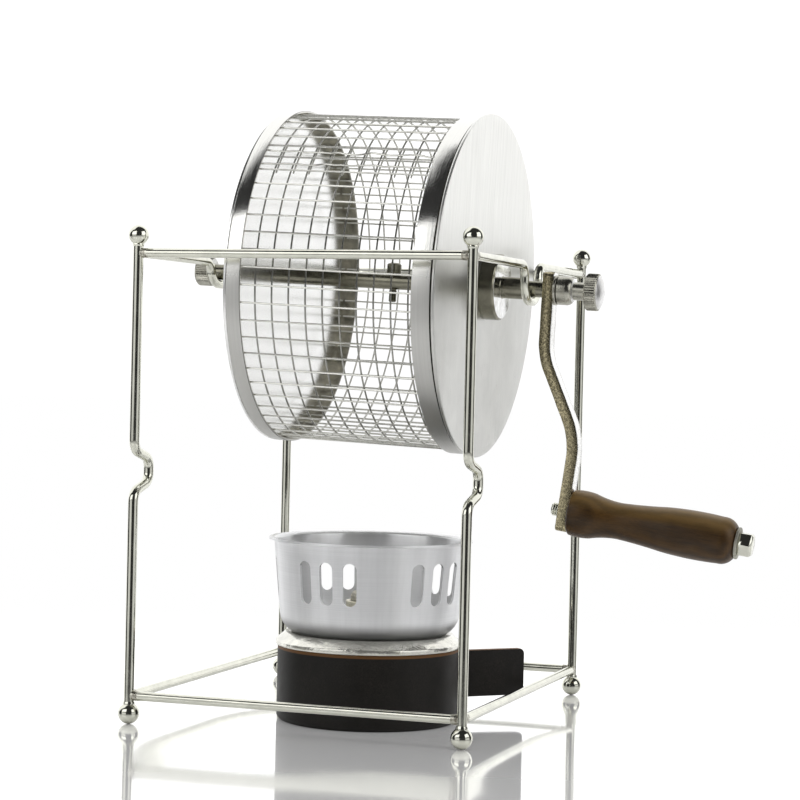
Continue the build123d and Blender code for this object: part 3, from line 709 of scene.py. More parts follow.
def rolled_band(drum):
    """Rolled strip: brushed round the drum outside, rougher on its lower side and painted darker there as
    shade, with dark scale inside beside the disc."""
    finish = Finish("rolled_band")
    coords = finish.round_coords(*AXLE_LINE, BAND_R)
    lines = finish.streaks((14, 1, 5200), coords)
    chatter = finish.streaks((1500, 1, 90), coords)
    place = finish.parts(coords)
    inside = finish.spread(place["Y"], 1.0, 0.0, BAND_R - drum.band_wall * 0.8,
                           BAND_R - drum.band_wall * 0.4)
    first, last = axle_span("left_band")[0], axle_span("right_band")[1]
    off_middle = finish.math("ABSOLUTE", finish.math("SUBTRACT", place["Z"], (first + last) / 2))
    brink = (last - first) / 2 - drum.scale_width
    scale = finish.math("MULTIPLY", inside, finish.spread(off_middle, 0.3, 1.0, brink - 1.2 * MM, brink))
    # Painted shade: the band's lower side is painted darker, and also made rougher.
    low_shade_mask = finish.low_side(AXLE_POINT.z + 12 * MM, AXLE_POINT.z - 14 * MM)
    bright = finish.tones(lines, drum.band_colour, 0.9, 1.14)
    bright = finish.mix(low_shade_mask, bright, finish.tones(lines, drum.band_colour, 0.62, 0.86))
    dull = finish.tones(finish.marks(5 * MM), drum.scale_and_groove_shadow_colour, 0.5, 1.6)
    finish.feed("Base Color", finish.mix(scale, bright, dull))
    finish.feed("Metallic", finish.spread(scale, 1.0, 0.15))
    gloss = finish.math("MULTIPLY_ADD", low_shade_mask, 0.28, finish.spread(lines, 0.17, 0.1))
    finish.feed("Roughness", finish.math("MAXIMUM", gloss, finish.spread(scale, 0.0, 0.45)))
    finish.bump(finish.math("MULTIPLY_ADD", chatter, 0.3, lines), 0.04 * MM, 0.7)
    return finish.material


def groove_shadow(drum):
    """Painted shadow: a near-black colour in the groove between a band and its disc."""
    finish = Finish("groove_shadow", Metallic=0.0, IOR=1.3)
    marks = finish.marks(2 * MM)
    finish.feed("Base Color", finish.tones(marks, drum.scale_and_groove_shadow_colour, 0.03, 0.12))
    finish.feed("Roughness", finish.spread(marks, 0.7, 0.5))
    return finish.material


def drawn_wire(name, drum, outside):
    """Drawn mesh wire with dull spots: painted lighter on the faces towards the axle, and painted darker by
    a given share on the outside, as painted shade."""
    finish = Finish(name)
    marks = finish.marks(3 * MM)
    spoke = finish.vector("SUBTRACT", finish.coords, AXLE_POINT)
    spoke = finish.vector("CROSS_PRODUCT", AXLE_WAY, spoke)
    spoke = finish.vector("NORMALIZE", finish.vector("CROSS_PRODUCT", spoke, AXLE_WAY))
    outward = finish.measure("DOT_PRODUCT", spoke, finish.normal())
    painted_light = finish.tones(marks, drum.wire_colour, 0.95, 1.12)
    # Painted shade: the outward faces take the wire colour darkened by the outside share.
    dull = finish.tones(marks, drum.wire_colour, 0.84 * outside, 1.1 * outside)
    finish.feed("Base Color", finish.mix(finish.spread(outward, 0.0, 1.0, -0.3, 0.4), painted_light, dull))
    finish.feed("Metallic", finish.spread(outward, 0.15, 0.85, -0.3, 0.4))
    finish.feed("Roughness", finish.spread(marks, 0.16, 0.28))
    return finish.material


def turned_steel(name, steel, line, dullest):
    """Steel turned on a lathe: fine rings along its own line, with dull marks."""
    finish = Finish(name, Metallic=1.0)
    rings = finish.streaks((40, 40, 3600), finish.along(*line))
    marks = finish.marks(4 * MM)
    finish.feed("Base Color", finish.tones(marks, steel, 0.78, 1.15))
    finish.feed("Roughness", finish.spread(finish.math("MULTIPLY", rings, marks), dullest / 2, dullest))
    finish.bump(rings, 0.02 * MM, 0.5)
    return finish.material


def passivated_arm(name, plating, contrast):
    """Passivated bar: mottled colour of a given contrast and a lightly hammered face."""
    finish = Finish(name, Metallic=1.0)
    mottle = finish.marks(0.9 * MM)
    cloud = finish.marks(7 * MM)
    gold = finish.tones(finish.spread(mottle, 0.0, 1.0, 0.2, 0.8), plating, 1 - contrast, 1 + contrast)
    finish.feed("Base Color", finish.mix(finish.spread(cloud, 0.0, contrast), gold,
                                         tint(plating, 1 - 0.7 * contrast)))
    finish.feed("Roughness", finish.spread(mottle, 0.34, 0.18))
    dents = finish.add("TexVoronoi", {"Vector": finish.coords, "Scale": 1300.0}, feature="SMOOTH_F1")
    finish.bump(finish.math("MULTIPLY_ADD", dents["Distance"], 0.7, mottle), 0.07 * MM, contrast)
    return finish.material


def stained_wood(crank):
    """Dark stained wood, with its grain along the grip and a golden painted highlight on its upward faces,
    under a thin varnish.
    """
    finish = Finish("stained_wood", Coat_Roughness=0.3, IOR=1.35)
    along = finish.along(*GRIP_LINE)
    warp = finish.noise(along, 45.0, Detail=2.0)["Color"]
    swayed = finish.vector("MULTIPLY_ADD", warp, (0.0035, 0.0035, 0.0), along)
    rings = finish.add("TexWave", {
        "Vector": swayed, "Scale": 95.0, "Distortion": 2.2, "Detail": 2.0, "Detail Scale": 1.2},
        wave_type="BANDS", bands_direction="X")["Fac"]
    pores = finish.streaks((2600, 2600, 120), swayed)
    grain = finish.math("MULTIPLY_ADD", rings, 0.35, finish.math("MULTIPLY", pores, 0.7))
    stain = finish.mix(finish.spread(grain, 0.0, 1.0, 0.2, 0.8), tint(crank.wood_dark, 1.0),
                       tint(crank.wood_light, 1.0))
    # Painted highlight: the upward faces are painted golden, broken up by the grain.
    painted_top_light = finish.math("MULTIPLY", finish.spread(finish.upward(), 0.0, 0.7, 0.25, 1.0),
                          finish.spread(grain, 0.55, 1.0))
    finish.feed("Base Color", finish.mix(painted_top_light, stain, tint(crank.painted_top_light, 1.0)))
    finish.feed("Roughness", finish.spread(pores, 0.5, 0.38))
    finish.feed("Coat Weight", finish.spread(finish.marks(9 * MM), 0.05, 0.22))
    finish.bump(pores, 0.05 * MM, 0.3)
    return finish.material


def black_enamel(burner):
    """Matte black: a fine even grain with a slight bloom; brown painted on the upward faces as a highlight,
    and a brown band round the cup's top rim.
    """
    finish = Finish("black_enamel", IOR=1.32)
    grain = finish.marks(0.5 * MM)
    bloom = finish.marks(14 * MM)
    matte = finish.tones(finish.math("MULTIPLY", grain, bloom), burner.base_colour, 0.7, 2.2)
    rim = finish.low_side(burner.base_height - 1.3 * MM, burner.base_height - 0.9 * MM)
    # Painted highlight on the upward faces, with the brown band at the rim.
    painted_light = finish.math("MAXIMUM", finish.spread(finish.upward(), 0.0, 1.0, 0.3, 0.75), rim)
    finish.feed("Base Color", finish.mix(painted_light, matte, tint(burner.edge_highlight_brown, 1.0)))
    finish.feed("Roughness", finish.spread(bloom, 0.44, 0.58))
    finish.bump(grain, 0.03 * MM, 0.5)
    return finish.material


def polished_font(burner):
    """Pressed and polished metal: a mirror with slow dents."""
    finish = Finish("polished_font", Metallic=0.8)
    dents = finish.marks(8 * MM)
    finish.feed("Base Color", finish.tones(dents, burner.font_colour, 0.82, 1.08))
    finish.feed("Roughness", finish.spread(finish.marks(3 * MM), 0.1, 0.26))
    finish.bump(dents, 0.5 * MM, 0.5)
    return finish.material


def spun_screen(name, burner, dullest, metallic):
    """Spun aluminium: satin, with fine lines round it, soft upright smears and painted shade at its foot."""
    finish = Finish(name, Metallic=metallic)
    coords = finish.round_coords(*BURNER_LINE, burner.screen_top / 2)
    lines = finish.streaks((12, 60, 5200), coords)
    smears = finish.streaks((150, 30, 12), coords)
    both = finish.math("MULTIPLY_ADD", lines, 0.4, finish.math("MULTIPLY", smears, 0.6))
    tone = finish.spread(both, 0.0, 1.0, 0.36, 0.64)
    clean = finish.tones(tone, burner.screen_colour, 0.9, 1.08)
    foot = low("windscreen").z
    # Painted shade: the wall is painted darker towards its foot, where it curves under.
    foot_shade = finish.low_side(foot + 7 * MM, foot + 1.5 * MM)
    finish.feed("Base Color", finish.mix(foot_shade, clean, tint(burner.screen_colour, 0.3)))
    finish.feed("Roughness", finish.spread(tone, dullest, dullest * 0.75))
    finish.bump(lines, 0.02 * MM, 0.5)
    return finish.material


def brass_tube(burner):
    """Turned brass with dull marks."""
    finish = Finish("brass_tube", Metallic=1.0)
    rings = finish.streaks((60, 60, 3000))
    marks = finish.marks(3 * MM)
    finish.feed("Base Color", finish.tones(marks, burner.brass_colour, 0.7, 1.15))
    finish.feed("Roughness", finish.spread(marks, 0.22, 0.42))
    finish.bump(rings, 0.02 * MM, 0.4)
    return finish.material


def cotton_weave(burner):
    """Woven cotton: over-and-under threads with a soft nap."""
    finish = Finish("cotton_weave", Roughness=0.9, Sheen_Weight=0.3)
    coords = finish.round_coords(*BURNER_LINE, 7 * MM)
    threads = [finish.add("TexWave", {"Vector": coords, "Scale": 260.0, "Distortion": 0.6},
                          bands_direction=way)["Fac"] for way in "XZ"]
    weave = finish.math("MULTIPLY", *threads)
    finish.feed("Base Color", finish.tones(weave, burner.cotton_colour, 0.7, 1.1))
    finish.bump(weave, 0.25 * MM, 0.7)
    return finish.material


def glossy_floor(stage, back):
    """Pale glossy sheet: white to the camera, with a mirror image of what stands on it.

    The sheet lies flat under the feet and sags a little between them."""
    finish = Finish("glossy_floor")
    finish.tree.nodes.remove(finish.shader)
    feet = [finish.measure("DISTANCE", finish.coords, (x, y, 0))
            for x, y in ((LEFT, FRONT), (RIGHT, FRONT), (RIGHT, REAR), (LEFT, REAR))]
    nearest = feet[0]
    for foot in feet[1:]:
        nearest = finish.math("MINIMUM", foot, nearest)
    sag = finish.ramp(nearest, 0.03, 0.09, 0.0, 0.035)
    lean = finish.add("VectorMath", {0: back, "Scale": sag}, operation="SCALE")["Vector"]
    normal = finish.vector("NORMALIZE", finish.vector("ADD", lean, Z_WAY))
    matt = finish.add("BsdfDiffuse", {"Color": tint(stage.floor_colour, 1.0)})[0]
    gloss = finish.add("BsdfGlossy", {"Color": WHITE, "Roughness": 0.06, "Normal": normal})[0]
    rim = finish.add("Fresnel", {"IOR": 1.45})[0]
    strong = finish.add("Math", {0: rim, 1: 1.9}, operation="MULTIPLY", use_clamp=True)[0]
    sheet = finish.add("MixShader", {0: strong, 1: matt, 2: gloss})[0]
    seen = finish.add("LightPath")["Is Camera Ray"]
    glow = finish.add("Emission", {"Strength": finish.math("MULTIPLY", seen, 0.15)})[0]
    near = finish.add("AddShader", {0: sheet, 1: glow})[0]
    behind = finish.measure("DOT_PRODUCT", finish.coords, back)
    far = finish.math("MULTIPLY", finish.ramp(behind, 0.10, 0.32), seen)
    white = finish.add("Emission", {"Strength": 1.0})[0]
    floor = finish.add("MixShader", {0: far, 1: near, 2: white})[0]
    finish.tree.links.new(floor, finish.tree.nodes["Material Output"].inputs["Surface"])
    return finish.material


# Operators: the stage

def softbox(name, place, facing, width, height, radiance, mirrored=True):
    """A lamp with a bright face at the place, turned towards the facing direction. Polished metal
    shows it only where it is mirrored."""
    lamp = bpy.data.lights.new(name, "AREA")
    lamp.shape = "RECTANGLE"
    lamp.size, lamp.size_y = width, height
    lamp.energy = radiance * math.pi * width * height
    obj = bpy.data.objects.new(name, lamp)
    obj.location = place
    obj.rotation_euler = facing.to_track_quat("-Z", "Y").to_euler()
    obj.visible_camera = False
    obj.visible_glossy = mirrored
    bpy.context.scene.collection.objects.link(obj)


def backdrop_world(back, front):
    """White behind the object and to the camera, dark overhead and at the sides, and grey low down
    to the left and right of the front."""
    world = bpy.data.worlds.new("studio")
    bpy.context.scene.world = world
    world.use_nodes = True
    nodes = Nodes(world.node_tree)
    way = nodes.add("TexCoord")["Generated"]
    rise, side, behind, ahead = [nodes.measure("DOT_PRODUCT", way, other)
                                 for other in (Z_WAY, X_WAY, back, front)]
    arch = nodes.math("MULTIPLY_ADD", rise, nodes.ramp(side, -0.55, -0.15, 0.85, 0.23), behind)
    wall = nodes.math("MULTIPLY", nodes.ramp(arch, 0.47, 0.55), nodes.ramp(rise, 0.0, 0.09, 1.05, 1.18))
    card = nodes.math("MULTIPLY", nodes.ramp(ahead, 0.80, 0.90, 1.0, 0.0), nodes.ramp(ahead, 0.05, 0.25))
    card = nodes.math("MULTIPLY", card, nodes.ramp(rise, 0.12, 0.25, 0.75, 0.0))
    lit = nodes.math("MAXIMUM", nodes.math("MAXIMUM", wall, card), 0.03)
    seen = nodes.add("LightPath")["Is Camera Ray"]
    background = nodes.tree.nodes["Background"].inputs
    background["Color"].default_value = WHITE
    nodes.tree.links.new(nodes.math("MAXIMUM", seen, lit), background["Strength"])


class ROASTER_OT_stage(bpy.types.Operator):
    """Set the floor, the lamps, the backdrop and the camera"""

    bl_idname = "roaster.stage"
    bl_label = "Stage"

    FLOOR_HALF = 6.0
    FRONT_TURN = math.radians(8)      # from the camera to the middle of the dark gap in front
    LEFT_PLACE = Vector((-0.675, -0.85, 0.57))
    RIGHT_WAY = Vector((0.985, -0.17, 0))
    RIGHT_HEIGHT = 0.63
    HIGH_WAY = Vector((0.40, -0.24, 0.88)).normalized()
    HIGH_DISTANCE = 1.35

    def execute(self, context):
        stage = context.scene.roaster_stage
        azimuth = stage.camera_azimuth
        back = Vector((-math.sin(azimuth), math.cos(azimuth), 0))
        bm = bmesh.new()
        bmesh.ops.create_grid(bm, x_segments=2, y_segments=2, size=self.FLOOR_HALF)
        mesh = bpy.data.meshes.new("floor")
        bm.to_mesh(mesh)
        bm.free()
        mesh.materials.append(glossy_floor(stage, back))
        floor = bpy.data.objects.new("floor", mesh)
        context.scene.collection.objects.link(floor)
        backdrop_world(back, Matrix.Rotation(self.FRONT_TURN, 3, "Z") @ -back)
        softbox("left_softbox", self.LEFT_PLACE, Y_WAY, 1.15, 0.58, stage.softbox_radiance)
        softbox("right_softbox", self.RIGHT_WAY + Z_WAY * self.RIGHT_HEIGHT, -self.RIGHT_WAY, 0.87, 0.70,
                stage.softbox_radiance)
        softbox("high_softbox", self.HIGH_WAY * self.HIGH_DISTANCE, -self.HIGH_WAY, 1.0, 1.0,
                stage.high_radiance, mirrored=False)

        camera_data = bpy.data.cameras.new("camera")
        camera_data.lens = stage.camera_lens
        camera_data.sensor_width = 36
        camera_data.clip_start = 0.01
        camera = bpy.data.objects.new("camera", camera_data)
        look = (Matrix.Rotation(azimuth, 4, "Z")
                @ Matrix.Rotation(math.pi / 2 + stage.camera_elevation, 4, "X")
                @ Matrix.Rotation(stage.camera_roll, 4, "Z"))
        camera.matrix_world = Matrix.Translation(stage.camera_place) @ look
        context.scene.collection.objects.link(camera)
        context.scene.camera = camera
        context.scene.view_settings.view_transform = "Standard"
        return {"FINISHED"}


# Operators: the stand

TUCK = 0.3               # how far a bar stops short of its post's middle, in post diameters


def rod_piece(name, points, radii, diameter, finish):
    """Makes one rod of the stand. It stands for the node of its name."""
    bm = bmesh.new()
    bent_rod(bm, points, radii, diameter)
    add_piece("plated_" + name, bm, [name], finish)


class ROASTER_OT_posts(bpy.types.Operator):
    """Bend the four upright rods, the front two with a kink"""

    bl_idname = "roaster.posts"
    bl_label = "Posts"

    def execute(self, context):
        stand = context.scene.roaster_stand
        finish = plated_rod(stand)
        half = stand.kink_nose / 2
        leg = half + KINK_DEPTH / math.tan(stand.kink_slope)
        kink = [(0, -leg), (KINK_DEPTH, -half), (KINK_DEPTH, half), (0, leg)]
        for end, y, bends in (("front", FRONT, kink), ("rear", REAR, [])):
            for side, x in (("left", LEFT), ("right", RIGHT)):
                points = [Vector((x, y, POST_LOW))]
                points += [Vector((x, y + inward, stand.kink_height + up)) for inward, up in bends]
                points += [Vector((x, y, POST_HIGH))]
                rod_piece(f"{end}_{side}_post", points, [stand.kink_bend] * len(bends),
                          stand.post_diameter, finish)
        return {"FINISHED"}


class ROASTER_OT_bars(bpy.types.Operator):
    """Lay the straight bars between the posts"""

    bl_idname = "roaster.bars"
    bl_label = "Bars"

    def execute(self, context):
        stand = context.scene.roaster_stand
        finish = bpy.data.materials["plated_rod"]
        tuck = stand.post_diameter * TUCK
        runs = {
            f"{end}_{level}_bar": (Vector((LEFT + tuck, y, z)), Vector((RIGHT - tuck, y, z)))
            for end, y in (("front", FRONT), ("rear", REAR))
            for level, z in (("top", TOP_BAR_Z), ("bottom", BOTTOM_BAR_Z))
        }
        runs |= {
            f"{side}_bottom_bar": (Vector((x, FRONT + tuck, BOTTOM_BAR_Z)),
                                   Vector((x, REAR - tuck, BOTTOM_BAR_Z)))
            for side, x in (("left", LEFT), ("right", RIGHT))
        }
        for name, run in runs.items():
            rod_piece(name, run, [], stand.bar_diameter, finish)
        return {"FINISHED"}


class ROASTER_OT_rails(bpy.types.Operator):
    """Bend the two top rails down under the axle and up again"""

    bl_idname = "roaster.rails"
    bl_label = "Saddle rails"

    def execute(self, context):
        stand = context.scene.roaster_stand
        finish = bpy.data.materials["plated_rod"]
        tuck = stand.post_diameter * TUCK
        radii = [stand.saddle_bend, stand.saddle_round, stand.saddle_round, stand.saddle_bend]
        half = stand.saddle_half
        for side, x in (("left", LEFT), ("right", RIGHT)):
            deep = low(f"{side}_rail").z + stand.bar_diameter / 2
            stations = [(FRONT + tuck, TOP_BAR_Z), (-half, TOP_BAR_Z), (-half, deep), (half, deep),
                        (half, TOP_BAR_Z), (REAR - tuck, TOP_BAR_Z)]
            points = [Vector((x, y, z)) for y, z in stations]
            rod_piece(f"{side}_rail", points, radii, stand.bar_diameter, finish)
        return {"FINISHED"}


class ROASTER_OT_balls(bpy.types.Operator):
    """Set the ball feet and finials, each with the weld that holds it"""

    bl_idname = "roaster.balls"
    bl_label = "Ball feet and finials"

    def execute(self, context):
        stand = context.scene.roaster_stand
        finish = bpy.data.materials["plated_rod"]
        rod = stand.post_diameter / 2
        for name, z, radius, neck, way in (
                ("ball_feet", FOOT_R, FOOT_R - SKIN, POST_LOW, Z_WAY),
                ("ball_finials", FINIAL_Z, FINIAL_R - SKIN, POST_HIGH, -Z_WAY)):
            bm = bmesh.new()
            for x, y in ((LEFT, FRONT), (LEFT, REAR), (RIGHT, FRONT), (RIGHT, REAR)):
                bmesh.ops.create_uvsphere(
                    bm, u_segments=48, v_segments=32, radius=radius,
                    matrix=Matrix.Translation((x, y, z)))
                weld_collar(bm, Vector((x, y, neck)), way, rod, rod * 1.22, 0.9 * MM)
            add_piece("plated_" + name, bm, [name], finish)
        return {"FINISHED"}


class ROASTER_OT_welds(bpy.types.Operator):
    """Run a lumpy weld round each bar where it meets a post"""

    bl_idname = "roaster.welds"
    bl_label = "Welds"

    def execute(self, context):
        stand = context.scene.roaster_stand
        bar = stand.bar_diameter / 2
        post = stand.post_diameter / 2
        bm = bmesh.new()
        for x, inward in ((LEFT, X_WAY), (RIGHT, -X_WAY)):
            for y, along in ((FRONT, Y_WAY), (REAR, -Y_WAY)):
                for z in (TOP_BAR_Z, BOTTOM_BAR_Z):
                    corner = Vector((x, y, z))
                    for way in (inward, along):
                        weld_collar(bm, corner + way * post, way, bar, bar * 1.14, stand.weld_reach)
        add_piece("weld_beads", bm, [], weld_scale(stand), body="stand")
        return {"FINISHED"}


# Operators: the drum

class ROASTER_OT_mesh(bpy.types.Operator):
    """Weld the drum's mesh: lengthwise wires outside, rings inside and a lapped seam"""

    bl_idname = "roaster.mesh"
    bl_label = "Wire mesh"

    WIRE_SIDES = 10
    RING_SIDES = 8
    RING_STEP = math.radians(3)
    SEAM_STATIONS = 24
    LAP_SHIFT = 1.15 * MM     # from a ring to its loose end beside the seam

    def execute(self, context):
        drum = context.scene.roaster_drum
        # outside: share of the wire colour kept on the outer faces, painted darker as shade; darkest on the
        # rings.
        finish = drawn_wire("drawn_wire", drum, outside=0.9)
        ring_finish = drawn_wire("drawn_ring_wire", drum, outside=0.5)
        wire = drum.wire_diameter / 2
        first, last, _ = axle_span("mesh_wires")
        step = math.tau / drum.wire_count

        bm = bmesh.new()
        run = [self.round_place(station, WIRE_R - wire, math.pi / 2 + drum.wire_turn)
               for station in (first, last)]
        bent_rod(bm, run, [], 2 * wire, self.WIRE_SIDES)
        bmesh.ops.spin(
            bm, geom=bm.verts[:] + bm.edges[:] + bm.faces[:], cent=AXLE_POINT, axis=AXLE_WAY,
            angle=math.tau - step, steps=drum.wire_count - 1, use_duplicate=True)
        add_piece("drawn_lengthwise_wires", bm, ["mesh_wires"], finish)

        hoop_r = WIRE_R - 3 * wire
        ring_first, ring_last, _ = axle_span("mesh_rings")
        ring_first += wire
        pitch = (ring_last - wire - ring_first) / (drum.ring_count - 1)
        stations = [ring_first + pitch * place for place in range(drum.ring_count)]
        bm = bmesh.new()
        for station in stations:
            self.hoop(bm, station, hoop_r, wire, 0.0, math.tau)
        add_piece("drawn_rings", bm, ["mesh_rings"], ring_finish)

        bm = bmesh.new()
        seam_place = middle("seam_wires") - AXLE_POINT
        seam_turn = math.atan2(seam_place.dot(AXLE_UP), -seam_place.y) + drum.wire_turn
        seam = [seam_turn + side * step / 2 for side in (-1, 1)]
        for turn in seam:
            points = self.wavy_line(first, last, WIRE_R - wire, turn, drum.seam_wave)
            bent_rod(bm, points, [pitch * 0.9] * (len(points) - 2), 2 * wire, self.WIRE_SIDES)
        for station in stations:
            stray = noise.noise(Vector((station * 400, 0.5, 0.5))) * 0.6 * MM
            self.hoop(bm, station + self.LAP_SHIFT + stray, hoop_r + wire, wire * 0.94,
                      seam[0] - 0.7 * step, seam[1] + 0.65 * step)
        add_piece("seam_laps", bm, ["seam_wires"], finish)
        return {"FINISHED"}

    @staticmethod
    def round_place(station, radius, turn):
        """A place round the axle, at a turn from the front upwards."""
        return (AXLE_POINT + AXLE_WAY * station - Y_WAY * radius * math.cos(turn)
                + AXLE_UP * radius * math.sin(turn))

    @classmethod
    def hoop(cls, bm, station, radius, wire, start, end):
        """A ring of wire round the axle, or a part of one, between two turns from the front."""
        heading = Y_WAY * math.sin(start) + AXLE_UP * math.cos(start)
        ring = start_ring(bm, cls.round_place(station, radius, start), heading, wire,
                          cls.RING_SIDES)
        whole = math.isclose(end - start, math.tau)
        bmesh.ops.spin(
            bm, geom=ring, cent=AXLE_POINT + AXLE_WAY * station, axis=-AXLE_WAY, angle=end - start,
            steps=max(4, round((end - start) / cls.RING_STEP)), use_merge=whole)
        if not whole:
            close_holes(bm)

    @classmethod
    def wavy_line(cls, first, last, radius, turn, wave):
        """Points of a loose wire along the drum that wanders round it and in and out."""
        points = []
        for place in range(cls.SEAM_STATIONS + 1):
            station = first + (last - first) * place / cls.SEAM_STATIONS
            sway = noise.noise(Vector((place * 0.61, turn * 9, 0.3))) * wave * 2.4
            lift = abs(noise.noise(Vector((place * 0.83, turn * 5, 4.7)))) * wave * 0.6
            points.append(cls.round_place(station, radius - lift, turn + sway / radius))
        return points


class ROASTER_OT_drum_ends(bpy.types.Operator):
    """Cut the end discs and roll the bands round the drum's ends"""

    bl_idname = "roaster.drum_ends"
    bl_label = "Discs and bands"

    def execute(self, context):
        drum = context.scene.roaster_drum
        edge = drum.edge_round
        band_finish, groove_shadow_finish = rolled_band(drum), groove_shadow(drum)
        # low_shade: the share of each sheet's colour painted on its lower side as shade.
        sheets = {
            # The cap's colour is painted paler than the crank disc's, as painted light.
            "left": brushed_disc("cap_sheet", drum.lit_cap_colour, contrast=0.02, dullest=0.2, low_shade=0.97),
            "right": brushed_disc("brushed_disc", drum.sheet_colour, contrast=0.07, dullest=0.36, low_shade=0.7),
        }
        bore = AXLE_R + RUN_GAP
        for side, sheet in sheets.items():
            near, far, rim = axle_span(f"{side}_disc")
            rim -= SKIN
            flat = rim - 9 * edge
            turned_piece(
                f"brushed_{side}_disc", f"{side}_disc", sheet,
                [(near, bore), (near, flat), (near, rim, edge), (far, rim, edge), (far, flat), (far, bore)],
                AXLE_LINE, DRUM_STEPS)

            near, far, outer = axle_span(f"{side}_band")
            outer -= SKIN
            inner = outer - drum.band_wall
            if side == "right":
                near, lip = far - drum.right_band_width, drum.band_groove
            else:
                far, lip = near + drum.left_band_width, edge / 3
            # The slanting faces of each band's groove take the painted groove shadow.
            turned_piece(
                f"rolled_{side}_band", f"{side}_band", band_finish,
                [(near, inner), (near, outer, edge / 3), (far - lip, outer, edge / 3), (far, outer - lip),
                 (far, inner)], AXLE_LINE, DRUM_STEPS, second=(groove_shadow_finish, self.slanting))
        return {"FINISHED"}

    @staticmethod
    def slanting(face):
        """Picks the faces of a band's groove, which lean towards the crank."""
        return 0.5 < face.normal.dot(AXLE_WAY) < 0.9


def square_to_axle(face):
    """Picks the end faces of what is turned on the axle."""
    return abs(face.normal.dot(AXLE_WAY)) > 0.8


class ROASTER_OT_axle(bpy.types.Operator):
    """Turn the axle and its hubs, and set the cross bolt"""

    bl_idname = "roaster.axle"
    bl_label = "Axle and hubs"

    AXLE_STEPS = 48

    def execute(self, context):
        drum, crank = context.scene.roaster_drum, context.scene.roaster_crank
        steel = turned_steel("turned_steel", drum.steel_colour, AXLE_LINE, dullest=0.34)
        # Painted highlight: the end faces of the hubs take a near-white copy of the steel.
        highlit_faces = turned_steel("highlit_face_steel", drum.highlit_face_colour, AXLE_LINE, dullest=0.2)
        ends = (highlit_faces, square_to_axle)
        fine, edge, bevel = 0.2 * MM, 0.3 * MM, 0.7 * MM

        first, last, _ = axle_span("axle")
        first += crank.knob_shift
        knob_face = axle_span("end_knob")[1] + crank.knob_shift + 0.2 * MM
        arm_face = axle_span("arm_washer")[0] - crank.arm_thickness
        stub = drum.stub_diameter / 2
        turned_piece(
            "turned_axle", "axle", steel,
            [(first, 0), (first, stub, edge), (knob_face, stub), (knob_face, AXLE_R, edge),
             (arm_face, AXLE_R, fine), (arm_face, stub), (last, stub, edge), (last, 0)],
            AXLE_LINE, self.AXLE_STEPS, closed=False)

        face, end, rim = axle_span("right_hub")
        neck, step = drum.hub_neck / 2, face + drum.hub_length
        bore = AXLE_R + RUN_GAP
        turned_piece(
            "turned_right_hub", "right_hub", steel,
            [(face, bore), (face, rim, fine), (step - bevel, rim, edge), (step, rim - bevel, edge),
             (step, neck, 2 * fine), (end, neck, 2 * fine), (end, bore)],
            AXLE_LINE, HUB_STEPS, second=ends)

        end, face, rim = axle_span("left_hub")
        turned_piece(
            "turned_left_hub", "left_hub", steel,
            [(face, bore), (face, rim, fine), (end + bevel, rim, edge), (end, rim - bevel, edge),
             (end, bore)], AXLE_LINE, HUB_STEPS, second=ends)

        bolt_first, bolt_last, _ = axle_span("cross_bolt")
        place = AXLE_POINT + AXLE_WAY * (bolt_first + bolt_last) / 2
        tip, top, head = span("cross_bolt", place, AXLE_UP)
        under, shank, crown = top - 4.0 * MM, 1.5 * MM, 0.6 * MM
        thread = thread_outline(tip + edge, -AXLE_R, shank, 0.5 * MM)
        turned_piece(
            "threaded_cross_bolt", "cross_bolt", steel,
            [(tip, 0), (tip, shank * 0.75)] + thread
            + [(under, shank), (under, head, edge), (top - crown, head, crown), (top, head * 0.5), (top, 0)],
            (place, AXLE_UP), BOLT_STEPS, closed=False)
        return {"FINISHED"}


# Operators: the crank

